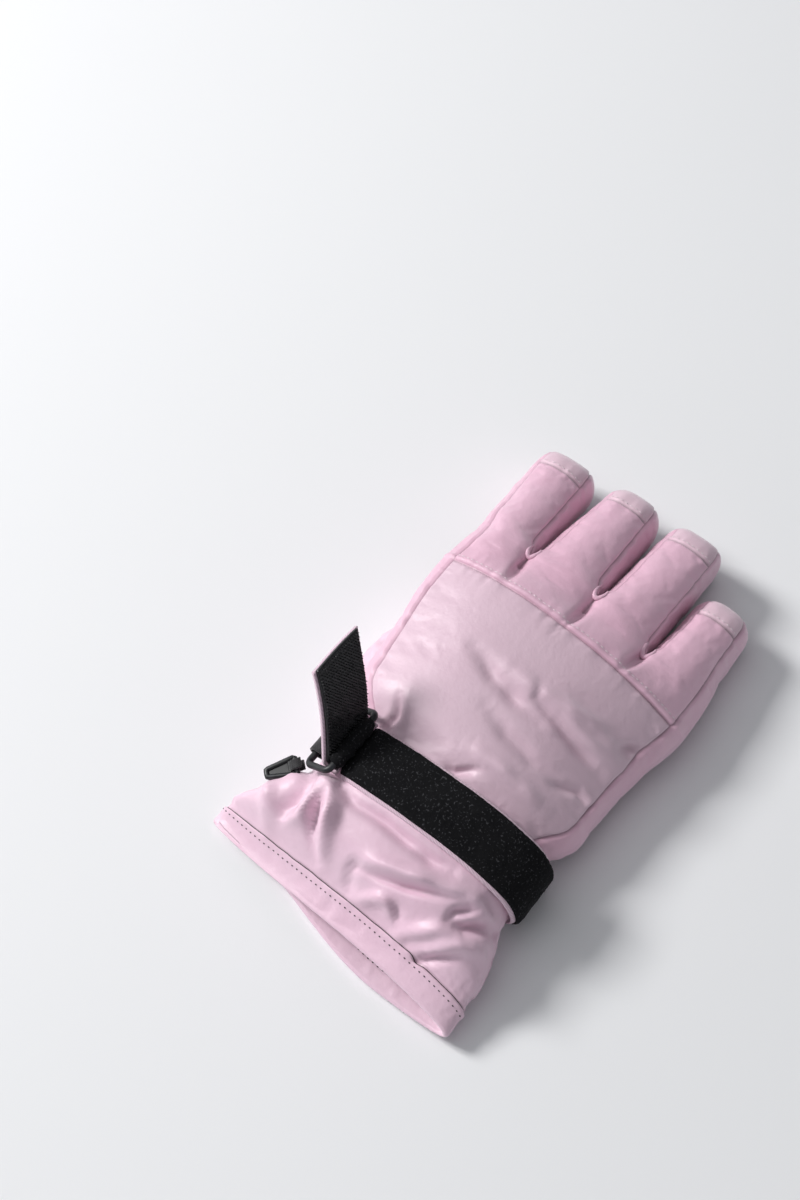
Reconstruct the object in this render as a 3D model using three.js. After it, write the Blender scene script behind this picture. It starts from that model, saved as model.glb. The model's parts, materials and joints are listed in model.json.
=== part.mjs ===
// Insulated ski glove for the right hand, lying palm down with the thumb folded under the palm.
// Millimetres. +Y points to the fingertips, +X to the little finger, +Z up from the surface it lies on.
import * as THREE from 'three';
import { mergeVertices } from 'three/addons/utils/BufferGeometryUtils.js';

// ---------- driving dimensions ----------
const HEM_Y = -108;            // mouth of the cuff
const CUFF_END_Y = -40.4;      // front end of the cuff, under the strap
const HAND_START_Y = -39.9;    // rear end of the hand, under the strap
const KNUCKLE_Y = 48;          // piped seam across the back
const ROOT_Y = 64;             // plane of the finger hinges
const HEM_BAND = 12;           // width of the folded hem
const STRAP = { y: -43.5, width: 27, tape: 24.6 };
const FINGER_FLEX = THREE.MathUtils.degToRad(46);   // relief under each knuckle allows this much curl
const GAP = 0.36;              // clearance between neighbouring pieces

// depths below the outer surface, outside to inside
const SHELL = [0, 1.4];
const INSULATION = [2.1, 3.9];
const LINING = [4.3, 5.1];

// origin of the part, in the coordinates used below
const ORIGIN = new THREE.Vector3(5.4, 12.75, 0);

// ---------- materials ----------
function material(color, roughness, metalness = 0) {
  return new THREE.MeshStandardMaterial({ color, roughness, metalness });
}
const PINK = material(0xdfc2cf, 0.45);
const PINK_TAPE = material(0xe8cdd8, 0.7);
const BLACK_GRIP = material(0x17171a, 0.7);
const BLACK_TAPE = material(0x0d0d0e, 0.9);
const BLACK_LINING = material(0x202022, 0.95);
const WADDING = material(0xefefec, 1);
const PLASTIC = material(0x26272a, 0.5);

// ---------- small helpers ----------
const { lerp, clamp, degToRad } = THREE.MathUtils;
const bump = (s, power = 2.4) => 1 - Math.abs(s) ** power;

// Smooth value of one field of a list of stations, with the slope of the neighbours at each one.
function along(stations, y, field) {
  const last = stations.length - 1;
  let i = 0;
  while (i < last - 1 && y > stations[i + 1].y) i += 1;
  const slope = (k) => {
    const a = stations[Math.max(k - 1, 0)];
    const b = stations[Math.min(k + 1, last)];
    return (b[field] - a[field]) / (b.y - a.y);
  };
  const a = stations[i];
  const b = stations[i + 1];
  const span = b.y - a.y;
  const t = clamp((y - a.y) / span, 0, 1);
  const t2 = t * t;
  const t3 = t2 * t;
  return (2 * t3 - 3 * t2 + 1) * a[field] + (t3 - 2 * t2 + t) * span * slope(i)
    + (3 * t2 - 2 * t3) * b[field] + (t3 - t2) * span * slope(i + 1);
}

// A closed solid between two surfaces, each a grid of points [i][j].
// wrap joins the last column to the first. The grids' open edges are closed by narrow walls.
function between(outer, inner, wrap = false) {
  const rows = outer.length;
  const cols = outer[0].length;
  const points = [...outer.flat(), ...inner.flat()];
  const faces = [];
  const at = (side, i, j) => side * rows * cols + i * cols + (j % cols);
  const quad = (a, b, c, d) => faces.push(a, b, c, a, c, d);
  const colSteps = wrap ? cols : cols - 1;
  for (let i = 0; i < rows - 1; i += 1) {
    for (let j = 0; j < colSteps; j += 1) {
      quad(at(0, i, j), at(0, i, j + 1), at(0, i + 1, j + 1), at(0, i + 1, j));
      quad(at(1, i, j), at(1, i + 1, j), at(1, i + 1, j + 1), at(1, i, j + 1));
    }
  }
  for (let j = 0; j < colSteps; j += 1) {
    quad(at(0, 0, j), at(1, 0, j), at(1, 0, j + 1), at(0, 0, j + 1));
    quad(at(0, rows - 1, j), at(0, rows - 1, j + 1), at(1, rows - 1, j + 1), at(1, rows - 1, j));
  }
  if (!wrap) {
    for (let i = 0; i < rows - 1; i += 1) {
      quad(at(0, i, 0), at(0, i + 1, 0), at(1, i + 1, 0), at(1, i, 0));
      quad(at(0, i, cols - 1), at(1, i, cols - 1), at(1, i + 1, cols - 1), at(0, i + 1, cols - 1));
    }
  }
  return closed(points, faces);
}

// Joins equal points, drops faces without area and turns the faces outwards.
function closed(points, faces) {
  const raw = new THREE.BufferGeometry().setFromPoints(points);
  raw.setIndex(faces);
  const joined = mergeVertices(raw, 1e-3);
  const index = joined.getIndex().array;
  const position = joined.getAttribute('position');
  const kept = [];
  for (let k = 0; k < index.length; k += 3) {
    const [a, b, c] = [index[k], index[k + 1], index[k + 2]];
    if (a !== b && b !== c && a !== c) kept.push(a, b, c);
  }
  let volume = 0;
  const [p, q, r] = [new THREE.Vector3(), new THREE.Vector3(), new THREE.Vector3()];
  for (let k = 0; k < kept.length; k += 3) {
    p.fromBufferAttribute(position, kept[k]);
    q.fromBufferAttribute(position, kept[k + 1]);
    r.fromBufferAttribute(position, kept[k + 2]);
    volume += p.dot(q.cross(r));
  }
  if (volume < 0) kept.reverse();
  joined.setIndex(kept);
  joined.computeVertexNormals();
  return joined;
}

// Grid of surface(u, v, depth) over u (columns) and v (rows).
function grid(surface, us, vs, depth) {
  return vs.map((v) => us.map((u) => surface(u, v, depth)));
}

function steps(from, to, count) {
  return Array.from({ length: count + 1 }, (_, k) => lerp(from, to, k / count));
}

function ringSteps(count) {
  return Array.from({ length: count }, (_, k) => k / count);
}

function shell(surface, us, vs, depths, wrap = false) {
  return between(grid(surface, us, vs, depths[0]), grid(surface, us, vs, depths[1]), wrap);
}

function part(name, geometry, look) {
  const mesh = new THREE.Mesh(geometry, look);
  mesh.name = name;
  return mesh;
}

// ---------- the hand ----------
// Four seams run along the hand, at the corners of its section: tl, tr above and bl, br below, where l is
// the index side. crown lifts the back between its seams, side swells the strips and arch lifts the palm.
const HAND = [
  { y: -44, tlX: -27, tlZ: 33, trX: 49, trZ: 30, brX: 49, brZ: 8, blX: -27, blZ: 12, crown: 10, side: 10, arch: -5 },
  { y: -30, tlX: -28, tlZ: 33, trX: 50, trZ: 29, brX: 50, brZ: 8, blX: -28, blZ: 13, crown: 10, side: 9, arch: -4 },
  { y: -17, tlX: -40, tlZ: 38, trX: 59, trZ: 27, brX: 59, brZ: 5, blX: -41, blZ: 24, crown: 13, side: 6, arch: 2 },
  { y: 5, tlX: -44, tlZ: 40, trX: 61, trZ: 26, brX: 61.5, brZ: 4, blX: -45, blZ: 27, crown: 15, side: 4, arch: 5 },
  { y: 30, tlX: -47, tlZ: 42.5, trX: 63, trZ: 26.5, brX: 64, brZ: 4, blX: -47.5, blZ: 27.5, crown: 15, side: 5, arch: 6 },
  { y: 48, tlX: -47, tlZ: 43, trX: 66.5, trZ: 26.5, brX: 67, brZ: 4, blX: -47.5, blZ: 27.5, crown: 14.5, side: 5.5, arch: 6 },
  { y: 64, tlX: -46, tlZ: 41, trX: 67, trZ: 25, brX: 67, brZ: 4, blX: -46.5, blZ: 26.5, crown: 12.5, side: 5, arch: 4.5 },
];

function handSeam(corner, y) {
  return [along(HAND, y, `${corner}X`), along(HAND, y, `${corner}Z`)];
}

// Moves a point of a section towards the middle of the section by about depth.
function inset(x, z, middleX, middleZ, halfWidth, halfHeight, depth) {
  return [
    middleX + (x - middleX) * (1 - depth / halfWidth),
    middleZ + (z - middleZ) * (1 - depth / halfHeight),
  ];
}

function handPoint(x, z, y, depth) {
  const [tl, tr, br, bl] = ['tl', 'tr', 'br', 'bl'].map((corner) => handSeam(corner, y));
  const side = along(HAND, y, 'side');
  const middleX = (tl[0] + tr[0]) / 2;
  const halfWidth = (tr[0] - tl[0]) / 2 + side;
  const across = clamp((x - tl[0]) / (tr[0] - tl[0]), -0.1, 1.1);
  const shape = bump(clamp(across * 2 - 1, -1, 1));
  const low = lerp(bl[1], br[1], across) + along(HAND, y, 'arch') * shape;
  const high = lerp(tl[1], tr[1], across) + along(HAND, y, 'crown') * shape;
  const [px, pz] = inset(x, z, middleX, (low + high) / 2, halfWidth, (high - low) / 2, depth);
  return new THREE.Vector3(px, y, pz);
}

// s runs from -1 at the index side to 1 at the little finger's side.
function handBack(s, y, depth) {
  const [tl, tr] = [handSeam('tl', y), handSeam('tr', y)];
  const k = (s + 1) / 2;
  return handPoint(lerp(tl[0], tr[0], k), lerp(tl[1], tr[1], k) + along(HAND, y, 'crown') * bump(s), y, depth);
}

function handPalm(s, y, depth) {
  const [bl, br] = [handSeam('bl', y), handSeam('br', y)];
  const k = (s + 1) / 2;
  return handPoint(lerp(bl[0], br[0], k), lerp(bl[1], br[1], k) + along(HAND, y, 'arch') * bump(s), y, depth);
}

// q runs from -1 at the upper seam to 1 at the lower seam.
function handSide(direction, q, y, depth) {
  const letter = direction < 0 ? 'l' : 'r';
  const [top, low] = [handSeam(`t${letter}`, y), handSeam(`b${letter}`, y)];
  const k = (q + 1) / 2;
  const swell = direction * along(HAND, y, 'side') * bump(q, 2);
  return handPoint(lerp(top[0], low[0], k) + swell, lerp(top[1], low[1], k), y, depth);
}

// Whole section as one closed run: back, little side, palm, index side.
function handAround(u, y, depth) {
  const run = (u * 4) % 4;
  const s = (run % 1) * 2 - 1;
  if (run < 1) return handBack(s, y, depth);
  if (run < 2) return handSide(1, s, y, depth);
  if (run < 3) return handPalm(-s, y, depth);
  return handSide(-1, -s, y, depth);
}

function handSteps(back, side) {
  const run = (start, count) => Array.from({ length: count }, (_, k) => (start + k / count) / 4);
  return [...run(0, back), ...run(1, side), ...run(2, back), ...run(3, side)];
}

function hand() {
  const group = new THREE.Group();
  const edge = 1 - GAP / 55;
  const across = steps(-edge, edge, 8);
  const sideEdge = 1 - GAP / 9;
  const sideAcross = steps(-sideEdge, sideEdge, 3);
  const length = [HAND_START_Y, -28, -16, -4, 12, 28, KNUCKLE_Y - GAP];
  const full = [...length.slice(0, -1), 44, ROOT_Y - GAP];
  group.add(
    part('back_panel', shell(handBack, across, length, SHELL), PINK),
    part('knuckle_yoke', shell(handBack, across, [KNUCKLE_Y + GAP, 56, ROOT_Y - GAP], SHELL), PINK),
    part('palm_panel', shell(handPalm, across, full.slice(1), SHELL), BLACK_GRIP),
    part('wrist_elastic', shell(handPalm, across, [HAND_START_Y, -34, -28 - GAP], SHELL), BLACK_GRIP),
    part('little_side_strip', shell((q, y, d) => handSide(1, q, y, d), sideAcross, full, SHELL), PINK),
    part('index_side_strip', shell((q, y, d) => handSide(-1, q, y, d), sideAcross, full, SHELL), PINK),
    part('hand_insulation', shell(handAround, handSteps(8, 3), full, INSULATION, true), WADDING),
    part('hand_lining', shell(handAround, handSteps(8, 3), full, LINING, true), BLACK_LINING),
  );
  return group;
}

// ---------- fingers ----------
// A box finger: a strip runs along the back, over the tip and along the palm side, and two narrow strips
// close its sides. left and right are the x of its upper seams, at the root and near the tip; topL, topR,
// lowL and lowR are the heights of its four seams at the root.
const FINGERS = [
  {
    name: 'index', left: [-46.6, -51.6], right: [-25.2, -28.2], topL: 41, topR: 41.5, lowL: 26.5, lowR: 25.2,
    tipY: 131.5, tipTop: 27, swell: [4.6, 1.2], hingeZ: 31,
  },
  {
    name: 'middle', left: [-20.8, -16.4], right: [7.6, 5], topL: 41.5, topR: 40, lowL: 25, lowR: 20,
    tipY: 133.5, tipTop: 28, swell: [1.2, 1.2], hingeZ: 29,
  },
  {
    name: 'ring', left: [13, 15.4], right: [38, 38.4], topL: 40, topR: 34, lowL: 19.6, lowR: 13.6,
    tipY: 133.5, tipTop: 27, swell: [1.2, 1], hingeZ: 25,
  },
  {
    name: 'little', left: [42.6, 45], right: [66.6, 65], topL: 34, topR: 25, lowL: 13, lowR: 4.5,
    tipY: 113.5, tipTop: 22.5, swell: [0.8, 5], hingeZ: 16,
  },
];
const TIP_ROUND = 11;          // how far back from the tip its rounding starts
const TIP_LOW = 3.4;           // height of the lower seams at the tip
const TIP_CROWN = 4.6;         // swelling of the back and palm strips
const CAP_LENGTH = 14;         // the cap's reach along the back
const CAP_UNDER = 7;           // and along the palm side
const ROOT_TO_TIP = [0, 0.5, 1, 1.35, 1.7, 2];
const FINGER_SLABS = [-58, -23, 10.3, 40.4, 73.4];   // the planes that keep neighbouring fingers apart

// t runs from 0 at the root to 1 at the tip; the last part turns down over the tip.
function fingerSeam(finger, direction, upper, y) {
  const straight = finger.tipY - TIP_ROUND;
  const t = clamp((y - ROOT_Y) / (straight - ROOT_Y), 0, 1);
  const root = finger[`${upper ? 'top' : 'low'}${direction < 0 ? 'L' : 'R'}`];
  const sideX = direction < 0 ? finger.left : finger.right;
  const tipZ = upper ? finger.tipTop : TIP_LOW;
  const z = lerp(root, tipZ, t);
  const middle = (finger.tipTop + TIP_LOW) / 2;
  const turn = clamp((y - straight) / TIP_ROUND, 0, 1);
  const round = Math.sqrt(Math.max(1 - turn ** 2.6, 0));
  const narrow = direction * -1.5 * turn ** 3;
  return [lerp(sideX[0], sideX[1], t) + narrow, lerp(middle, z, round)];
}

function fingerPoint(finger, x, z, y, depth) {
  const [tl, bl] = [fingerSeam(finger, -1, true, y), fingerSeam(finger, -1, false, y)];
  const [tr, br] = [fingerSeam(finger, 1, true, y), fingerSeam(finger, 1, false, y)];
  const middleX = (tl[0] + tr[0]) / 2;
  const k = clamp((x - tl[0]) / (tr[0] - tl[0]), 0, 1);
  const middleZ = (lerp(tl[1], tr[1], k) + lerp(bl[1], br[1], k)) / 2;
  const halfWidth = (tr[0] - tl[0]) / 2 + 2;
  const halfHeight = 12;
  const [px, pz] = inset(x, z, middleX, middleZ, halfWidth, halfHeight, depth);
  const t = clamp((y - ROOT_Y) / (finger.tipY - ROOT_Y), 0, 1);
  const py = y - 1.5 * depth * t ** 4;
  const index = FINGERS.indexOf(finger);
  const slabX = clamp(px, FINGER_SLABS[index] + GAP / 2, FINGER_SLABS[index + 1] - GAP / 2);
  return new THREE.Vector3(slabX, py, Math.max(pz, 1.4 * depth));
}

function fingerStrip(finger, upper, s, y, depth) {
  const [l, r] = [fingerSeam(finger, -1, upper, y), fingerSeam(finger, 1, upper, y)];
  const k = (s + 1) / 2;
  const fade = clamp((finger.tipY - y) / TIP_ROUND, 0, 1) ** 0.5;
  const swell = (upper ? 1 : -0.7) * TIP_CROWN * bump(s) * fade;
  return fingerPoint(finger, lerp(l[0], r[0], k), lerp(l[1], r[1], k) + swell, y, depth);
}

function fingerSide(finger, direction, q, y, depth) {
  const [top, low] = [fingerSeam(finger, direction, true, y), fingerSeam(finger, direction, false, y)];
  const k = (q + 1) / 2;
  const t = clamp((y - ROOT_Y) / (finger.tipY - ROOT_Y), 0, 1);
  const own = finger.swell[direction < 0 ? 0 : 1];
  const swell = direction * lerp(own, 4, t) * bump(q, 2) * clamp((finger.tipY - y) / TIP_ROUND, 0, 1) ** 0.5;
  return fingerPoint(finger, lerp(top[0], low[0], k) + swell, lerp(top[1], low[1], k), y, depth);
}

// The root end leans forward below the hinge, so that the finger clears the hand when it curls.
function rootY(finger, z) {
  return ROOT_Y + GAP + Math.max(0, finger.hingeZ - z) * Math.tan(FINGER_FLEX);
}

// A point of one column: v runs from 0 at that column's own root plane to 1 where the tip's rounding
// starts, and on to 2 at the tip.
function fromRoot(finger, pointAt, v) {
  const straight = finger.tipY - TIP_ROUND;
  const start = rootY(finger, pointAt(ROOT_Y + 4).z);
  const y = v < 1 ? lerp(start, straight, v) : straight + TIP_ROUND * Math.sin((v - 1) * Math.PI / 2);
  return pointAt(y);
}

function fingerAround(finger, u, v, depth) {
  const run = (u * 4) % 4;
  const s = (run % 1) * 2 - 1;
  const pointAt = (y) => {
    if (run < 1) return fingerStrip(finger, true, s, y, depth);
    if (run < 2) return fingerSide(finger, 1, s, y, depth);
    if (run < 3) return fingerStrip(finger, false, -s, y, depth);
    return fingerSide(finger, -1, -s, y, depth);
  };
  return fromRoot(finger, pointAt, v);
}

function finger(spec) {
  const group = new THREE.Group();
  const edge = 1 - GAP / 13;
  const across = steps(-edge, edge, 4);
  const sideEdge = 1 - GAP / 5;
  const sideAcross = steps(-sideEdge, sideEdge, 2);
  const capY = spec.tipY - CAP_LENGTH;
  const underY = spec.tipY - CAP_UNDER;
  const backY = [ROOT_Y + GAP, 82, capY - GAP];
  const back = (s, y, d) => fingerStrip(spec, true, s, y, d);
  const palmEnd = 1 + Math.asin(1 - (CAP_UNDER + GAP) / TIP_ROUND) / (Math.PI / 2);
  const palm = (s, v, d) => fromRoot(spec, (y) => fingerStrip(spec, false, s, y, d), v);
  const side = (direction) => (q, v, d) => fromRoot(spec, (y) => fingerSide(spec, direction, q, y, d), v);
  const cap = (s, w, d) => {
    const y = w < 1 ? lerp(capY, spec.tipY, Math.sin(w * Math.PI / 2)) : lerp(underY, spec.tipY, Math.sin((2 - w) * Math.PI / 2));
    return fingerStrip(spec, w < 1, s, y, d);
  };
  const around = (u, v, d) => fingerAround(spec, u, v, d);
  group.add(
    part(`${spec.name}_back`, shell(back, across, backY, SHELL), PINK),
    part(`${spec.name}_palm`, shell(palm, across, [0, 0.5, 1, palmEnd], SHELL), BLACK_GRIP),
    part(`${spec.name}_inner_strip`, shell(side(-1), sideAcross, [0, 0.5, 1, 1.25, 1.44], SHELL), PINK),
    part(`${spec.name}_outer_strip`, shell(side(1), sideAcross, [0, 0.5, 1, 1.25, 1.44], SHELL), PINK),
    part(`${spec.name}_cap`, shell(cap, across, [0, 0.5, 0.8, 1, 1.3, 2], SHELL), PINK),
    part(`${spec.name}_insulation`, shell(around, handSteps(4, 2), ROOT_TO_TIP, INSULATION, true), WADDING),
    part(`${spec.name}_lining`, shell(around, handSteps(4, 2), ROOT_TO_TIP, LINING, true), BLACK_LINING),
  );
  return group;
}

// ---------- thumb ----------
const THUMB_PATH = new THREE.CatmullRomCurve3([
  new THREE.Vector3(-42.5, -19, 9.6), new THREE.Vector3(-44, 5, 12.4),
  new THREE.Vector3(-37.5, 28, 12.8), new THREE.Vector3(-26, 53, 12.4),
]);
const THUMB = { halfWidth: [13.5, 13.5], halfHeight: [9.2, 12.2], tipRound: 0.16 };

function thumbPoint(angle, v, depth) {
  const centre = THUMB_PATH.getPoint(clamp(v, 0, 1));
  const tangent = THUMB_PATH.getTangent(clamp(v, 0, 1));
  const turn = clamp((v - (1 - THUMB.tipRound)) / THUMB.tipRound, 0, 1);
  const round = Math.sqrt(Math.max(1 - turn ** 2.4, 0));
  const grow = Math.sin(Math.min(v * 2.2, 1) * Math.PI / 2);
  const halfWidth = Math.max(lerp(THUMB.halfWidth[0], THUMB.halfWidth[1], v) * round - depth, 0.02);
  const halfHeight = Math.max(lerp(THUMB.halfHeight[0], THUMB.halfHeight[1], grow) * round - depth, 0.02);
  const power = 2 / 2.5;
  const c = Math.cos(angle);
  const s = Math.sin(angle);
  const w = Math.sign(c) * Math.abs(c) ** power * halfWidth;
  const h = Math.sign(s) * Math.abs(s) ** power * halfHeight;
  const side = new THREE.Vector3(tangent.y, -tangent.x, 0).normalize();
  const point = centre.clone().addScaledVector(side, w);
  point.z += h;
  point.addScaledVector(tangent, -depth * v ** 8);
  point.z = Math.max(point.z, depth);
  return point;
}

function thumb() {
  const group = new THREE.Group();
  const rows = [0, 0.25, 0.5, 0.75, 0.88, 0.95, 0.985];
  const seamTop = degToRad(70);
  const seamLow = degToRad(-60);
  const gapAngle = GAP / 12;
  const outer = steps(seamTop + gapAngle, degToRad(360) + seamLow - gapAngle, 8);
  const inner = steps(seamLow + gapAngle, seamTop - gapAngle, 5);
  const around = ringSteps(10).map((k) => k * 2 * Math.PI);
  group.add(
    part('thumb_shell', shell(thumbPoint, outer, rows, SHELL), PINK),
    part('thumb_palm', shell(thumbPoint, inner, rows, SHELL), BLACK_GRIP),
    part('thumb_insulation', shell(thumbPoint, around, rows, INSULATION, true), WADDING),
    part('thumb_lining', shell(thumbPoint, around, rows, LINING, true), BLACK_LINING),
  );
  return group;
}

// ---------- cuff ----------
// Lens-shaped sections: middle x, half width, top and bottom heights, and the height of the side folds.
const CUFF = [
  { y: -110, x: 4, half: 64.5, top: 30, low: -1.5, fold: 12 },
  { y: -96, x: 4, half: 64, top: 33, low: -1.5, fold: 13 },
  { y: -80, x: 5.5, half: 62, top: 38, low: -1, fold: 15 },
  { y: -60, x: 10, half: 50.2, top: 41.6, low: 0, fold: 19 },
  { y: -44, x: 11, half: 49, top: 41.5, low: 1.5, fold: 20 },
  { y: -30, x: 11, half: 49, top: 41, low: 1.5, fold: 20 },
];

function sectionPoint(section, angle, y, depth, power = 2.1) {
  const c = Math.cos(angle);
  const s = Math.sin(angle);
  const reach = s > 0 ? section.top - section.fold : section.fold - section.low;
  const x = section.x + Math.sign(c) * Math.abs(c) ** (2 / power) * (section.half - depth);
  const z = section.fold + Math.sign(s) * Math.abs(s) ** (2 / power) * (reach - depth);
  return new THREE.Vector3(x, y, Math.max(z, depth, 0));
}

function cuffSection(y) {
  return Object.fromEntries(['x', 'half', 'top', 'low', 'fold'].map((field) => [field, along(CUFF, y, field)]));
}

function cuffPoint(angle, y, depth) {
  return sectionPoint(cuffSection(y), angle, y, depth);
}

function cuff() {
  const group = new THREE.Group();
  const bandY = HEM_Y + HEM_BAND;
  const rows = [bandY + GAP, -84, -72, -60, -50, CUFF_END_Y];
  const gapAngle = GAP / 26;
  const back = steps(gapAngle, Math.PI - gapAngle, 10);
  const palm = steps(Math.PI + gapAngle, 2 * Math.PI - gapAngle, 10);
  const around = ringSteps(20).map((k) => k * 2 * Math.PI);
  group.add(
    part('cuff_back', shell(cuffPoint, back, rows, [0, 1.4]), PINK),
    part('cuff_palm', shell(cuffPoint, palm, rows, [0, 1.4]), PINK),
    part('cuff_hem', shell(cuffPoint, around, [HEM_Y, bandY - 4, bandY], [-0.2, 2.2], true), PINK),
    part('cuff_lining', shell(cuffPoint, around, rows, [2.6, 3.8], true), BLACK_LINING),
  );
  return group;
}

// ---------- strap, ring and clip ----------
const STRAP_SECTION = { x: 11, half: 51.9, top: 43.9, low: -1.5, fold: 20 };
const STRAP_FROM = degToRad(-52);      // sewn end, at the palm seam on the little finger's side
const STRAP_TO = degToRad(127);        // last point before the ring
const RING = { x: -27.6, z: 43.2, length: 34, height: 14, bar: 2.8, lean: degToRad(38) };
const TAB = { backing: 27, tape: 24.6, long: 35, short: 37, lean: degToRad(-21), bend: degToRad(15), sweep: 17 };

function bandRows(width) {
  return [STRAP.y - width / 2, STRAP.y, STRAP.y + width / 2];
}

function strapPoint(angle, y, depth) {
  return sectionPoint(STRAP_SECTION, angle, y, depth, 2.2);
}

function strap() {
  const group = new THREE.Group();
  const sweep = steps(STRAP_FROM, STRAP_TO, 18);
  group.add(
    part('strap_backing', shell(strapPoint, sweep, bandRows(STRAP.width), [0, 1.2]), PINK_TAPE),
    part('strap_loop_tape', shell(strapPoint, sweep, bandRows(STRAP.tape), [-1.9, -GAP]), BLACK_TAPE),
  );
  return group;
}

// Rounded rectangle of round plastic wire. Its upper bar lies along Y at (RING.x, RING.z) and the ring
// leans down over the index side to its lower bar.
const LOWER_BAR = new THREE.Vector3(
  RING.x - RING.height * Math.cos(RING.lean), STRAP.y, RING.z - RING.height * Math.sin(RING.lean),
);

function roundedLoop(width, height, corner) {
  const [w, h] = [width / 2, height / 2];
  const shape = new THREE.Shape();
  shape.moveTo(-w + corner, -h);
  shape.lineTo(w - corner, -h);
  shape.absarc(w - corner, -h + corner, corner, -Math.PI / 2, 0, false);
  shape.lineTo(w, h - corner);
  shape.absarc(w - corner, h - corner, corner, 0, Math.PI / 2, false);
  shape.lineTo(-w + corner, h);
  shape.absarc(-w + corner, h - corner, corner, Math.PI / 2, Math.PI, false);
  shape.lineTo(-w, -h + corner);
  shape.absarc(-w + corner, -h + corner, corner, Math.PI, 1.5 * Math.PI, false);
  return shape;
}

// A rounded frame with a square section, laid in its local XY plane.
function frameGeometry(outerWidth, outerHeight, bar, corner, thickness) {
  const shape = roundedLoop(outerWidth, outerHeight, corner);
  shape.holes.push(roundedLoop(outerWidth - 2 * bar, outerHeight - 2 * bar, Math.max(corner - bar, 0.6)));
  const geometry = new THREE.ExtrudeGeometry(shape, { depth: thickness, bevelEnabled: false, curveSegments: 3 });
  geometry.translate(0, 0, -thickness / 2);
  return geometry;
}

function ring() {
  const mesh = part('strap_ring', frameGeometry(RING.length, RING.height + RING.bar, RING.bar, 3, RING.bar), PLASTIC);
  const middle = new THREE.Vector3((RING.x + LOWER_BAR.x) / 2, STRAP.y, (RING.z + LOWER_BAR.z) / 2);
  const along = new THREE.Vector3(0, 1, 0);
  const up = new THREE.Vector3(Math.cos(RING.lean), 0, Math.sin(RING.lean));
  mesh.matrix.makeBasis(along, up, new THREE.Vector3().crossVectors(along, up));
  mesh.matrix.setPosition(middle);
  mesh.matrix.decompose(mesh.position, mesh.quaternion, mesh.scale);
  return mesh;
}

// The free end passes under the ring's upper bar, turns up round it and stands, leaning away from the hand
// and sweeping towards the fingers.
// v runs from 0 to 1 round the bar and from 1 to 2 up to the end; y is the place across the tape.
function tabPoint(y, v, depth) {
  const reach = RING.bar / Math.SQRT2 + GAP;
  const start = degToRad(-68);
  const end = degToRad(-180) - TAB.lean;
  const angle = lerp(start, end, Math.min(v, 1));
  const up = Math.max(v - 1, 0);
  const across = (y - STRAP.y) / TAB.backing + 0.5;
  const radius = lerp(TAB.short, TAB.long, across) / TAB.bend;
  const turned = angle + TAB.bend * up;
  const x = RING.x + (reach + radius) * Math.cos(angle) + (depth - radius) * Math.cos(turned);
  const z = RING.z + (reach + radius) * Math.sin(angle) + (depth - radius) * Math.sin(turned);
  return new THREE.Vector3(x, y + TAB.sweep * up, z);
}

function tab() {
  const group = new THREE.Group();
  const rows = [0, 0.25, 0.5, 0.75, 1, 1.34, 1.67, 2];
  const tape = (width, depths) => {
    const side = (depth) => rows.map((v) => bandRows(width).map((y) => tabPoint(y, v, depth)));
    return between(side(depths[0]), side(depths[1]));
  };
  group.add(
    part('tab_hook_tape', tape(TAB.tape, [0, 1.3]), BLACK_TAPE),
    part('tab_backing', tape(TAB.backing, [1.3 + GAP, 2.6]), PINK_TAPE),
  );
  return group;
}

// A flat tape loop round a bar along Y: open towards the glove, sewn down at its two ends.
function tapeLoop(name, bar, inner, y0, y1, leg, direction) {
  const sweep = steps(direction - degToRad(100), direction + degToRad(100), 8);
  const outline = (radius) => {
    const arc = sweep.map((a) => [bar.x + radius * Math.cos(a), bar.z + radius * Math.sin(a)]);
    const back = [-Math.cos(direction) * leg, -Math.sin(direction) * leg];
    const [first, last] = [arc[0], arc[arc.length - 1]];
    return [[first[0] + back[0], first[1] + back[1]], ...arc, [last[0] + back[0], last[1] + back[1]]];
  };
  const side = (radius) => outline(radius).map(([x, z]) => [y0, y1].map((y) => new THREE.Vector3(x, y, z)));
  return part(name, between(side(inner + 1.1), side(inner)), BLACK_TAPE);
}

const CLIP = { x: -43, y: -61.5, z: 30.5, heading: degToRad(230), length: 14, wide: 9.4, narrow: 4.6, thick: 2.4 };

function clip() {
  const outline = new THREE.Shape();
  outline.moveTo(0, -CLIP.wide / 2);
  outline.lineTo(CLIP.length, -CLIP.narrow / 2);
  outline.lineTo(CLIP.length, CLIP.narrow / 2);
  outline.lineTo(0, CLIP.wide / 2);
  outline.closePath();
  const slot = new THREE.Path();
  slot.moveTo(2, -CLIP.wide / 2 + 1.7);
  slot.lineTo(2, CLIP.wide / 2 - 1.7);
  slot.lineTo(6, CLIP.wide / 2 - 2.4);
  slot.lineTo(6, -CLIP.wide / 2 + 2.4);
  slot.closePath();
  outline.holes.push(slot);
  const geometry = new THREE.ExtrudeGeometry(outline, { depth: CLIP.thick, bevelEnabled: false });
  geometry.translate(-1.1, 0, -CLIP.thick / 2);
  const mesh = part('glove_clip', geometry, PLASTIC);
  mesh.rotation.set(0, degToRad(-12), degToRad(180));
  const group = new THREE.Group();
  group.add(mesh, tapeLoop('clip_loop', new THREE.Vector3(), 1.9, -2.4, 2.4, 3, degToRad(200)));
  group.position.set(CLIP.x, CLIP.y, CLIP.z);
  group.rotation.z = CLIP.heading - Math.PI;
  return group;
}

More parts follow.
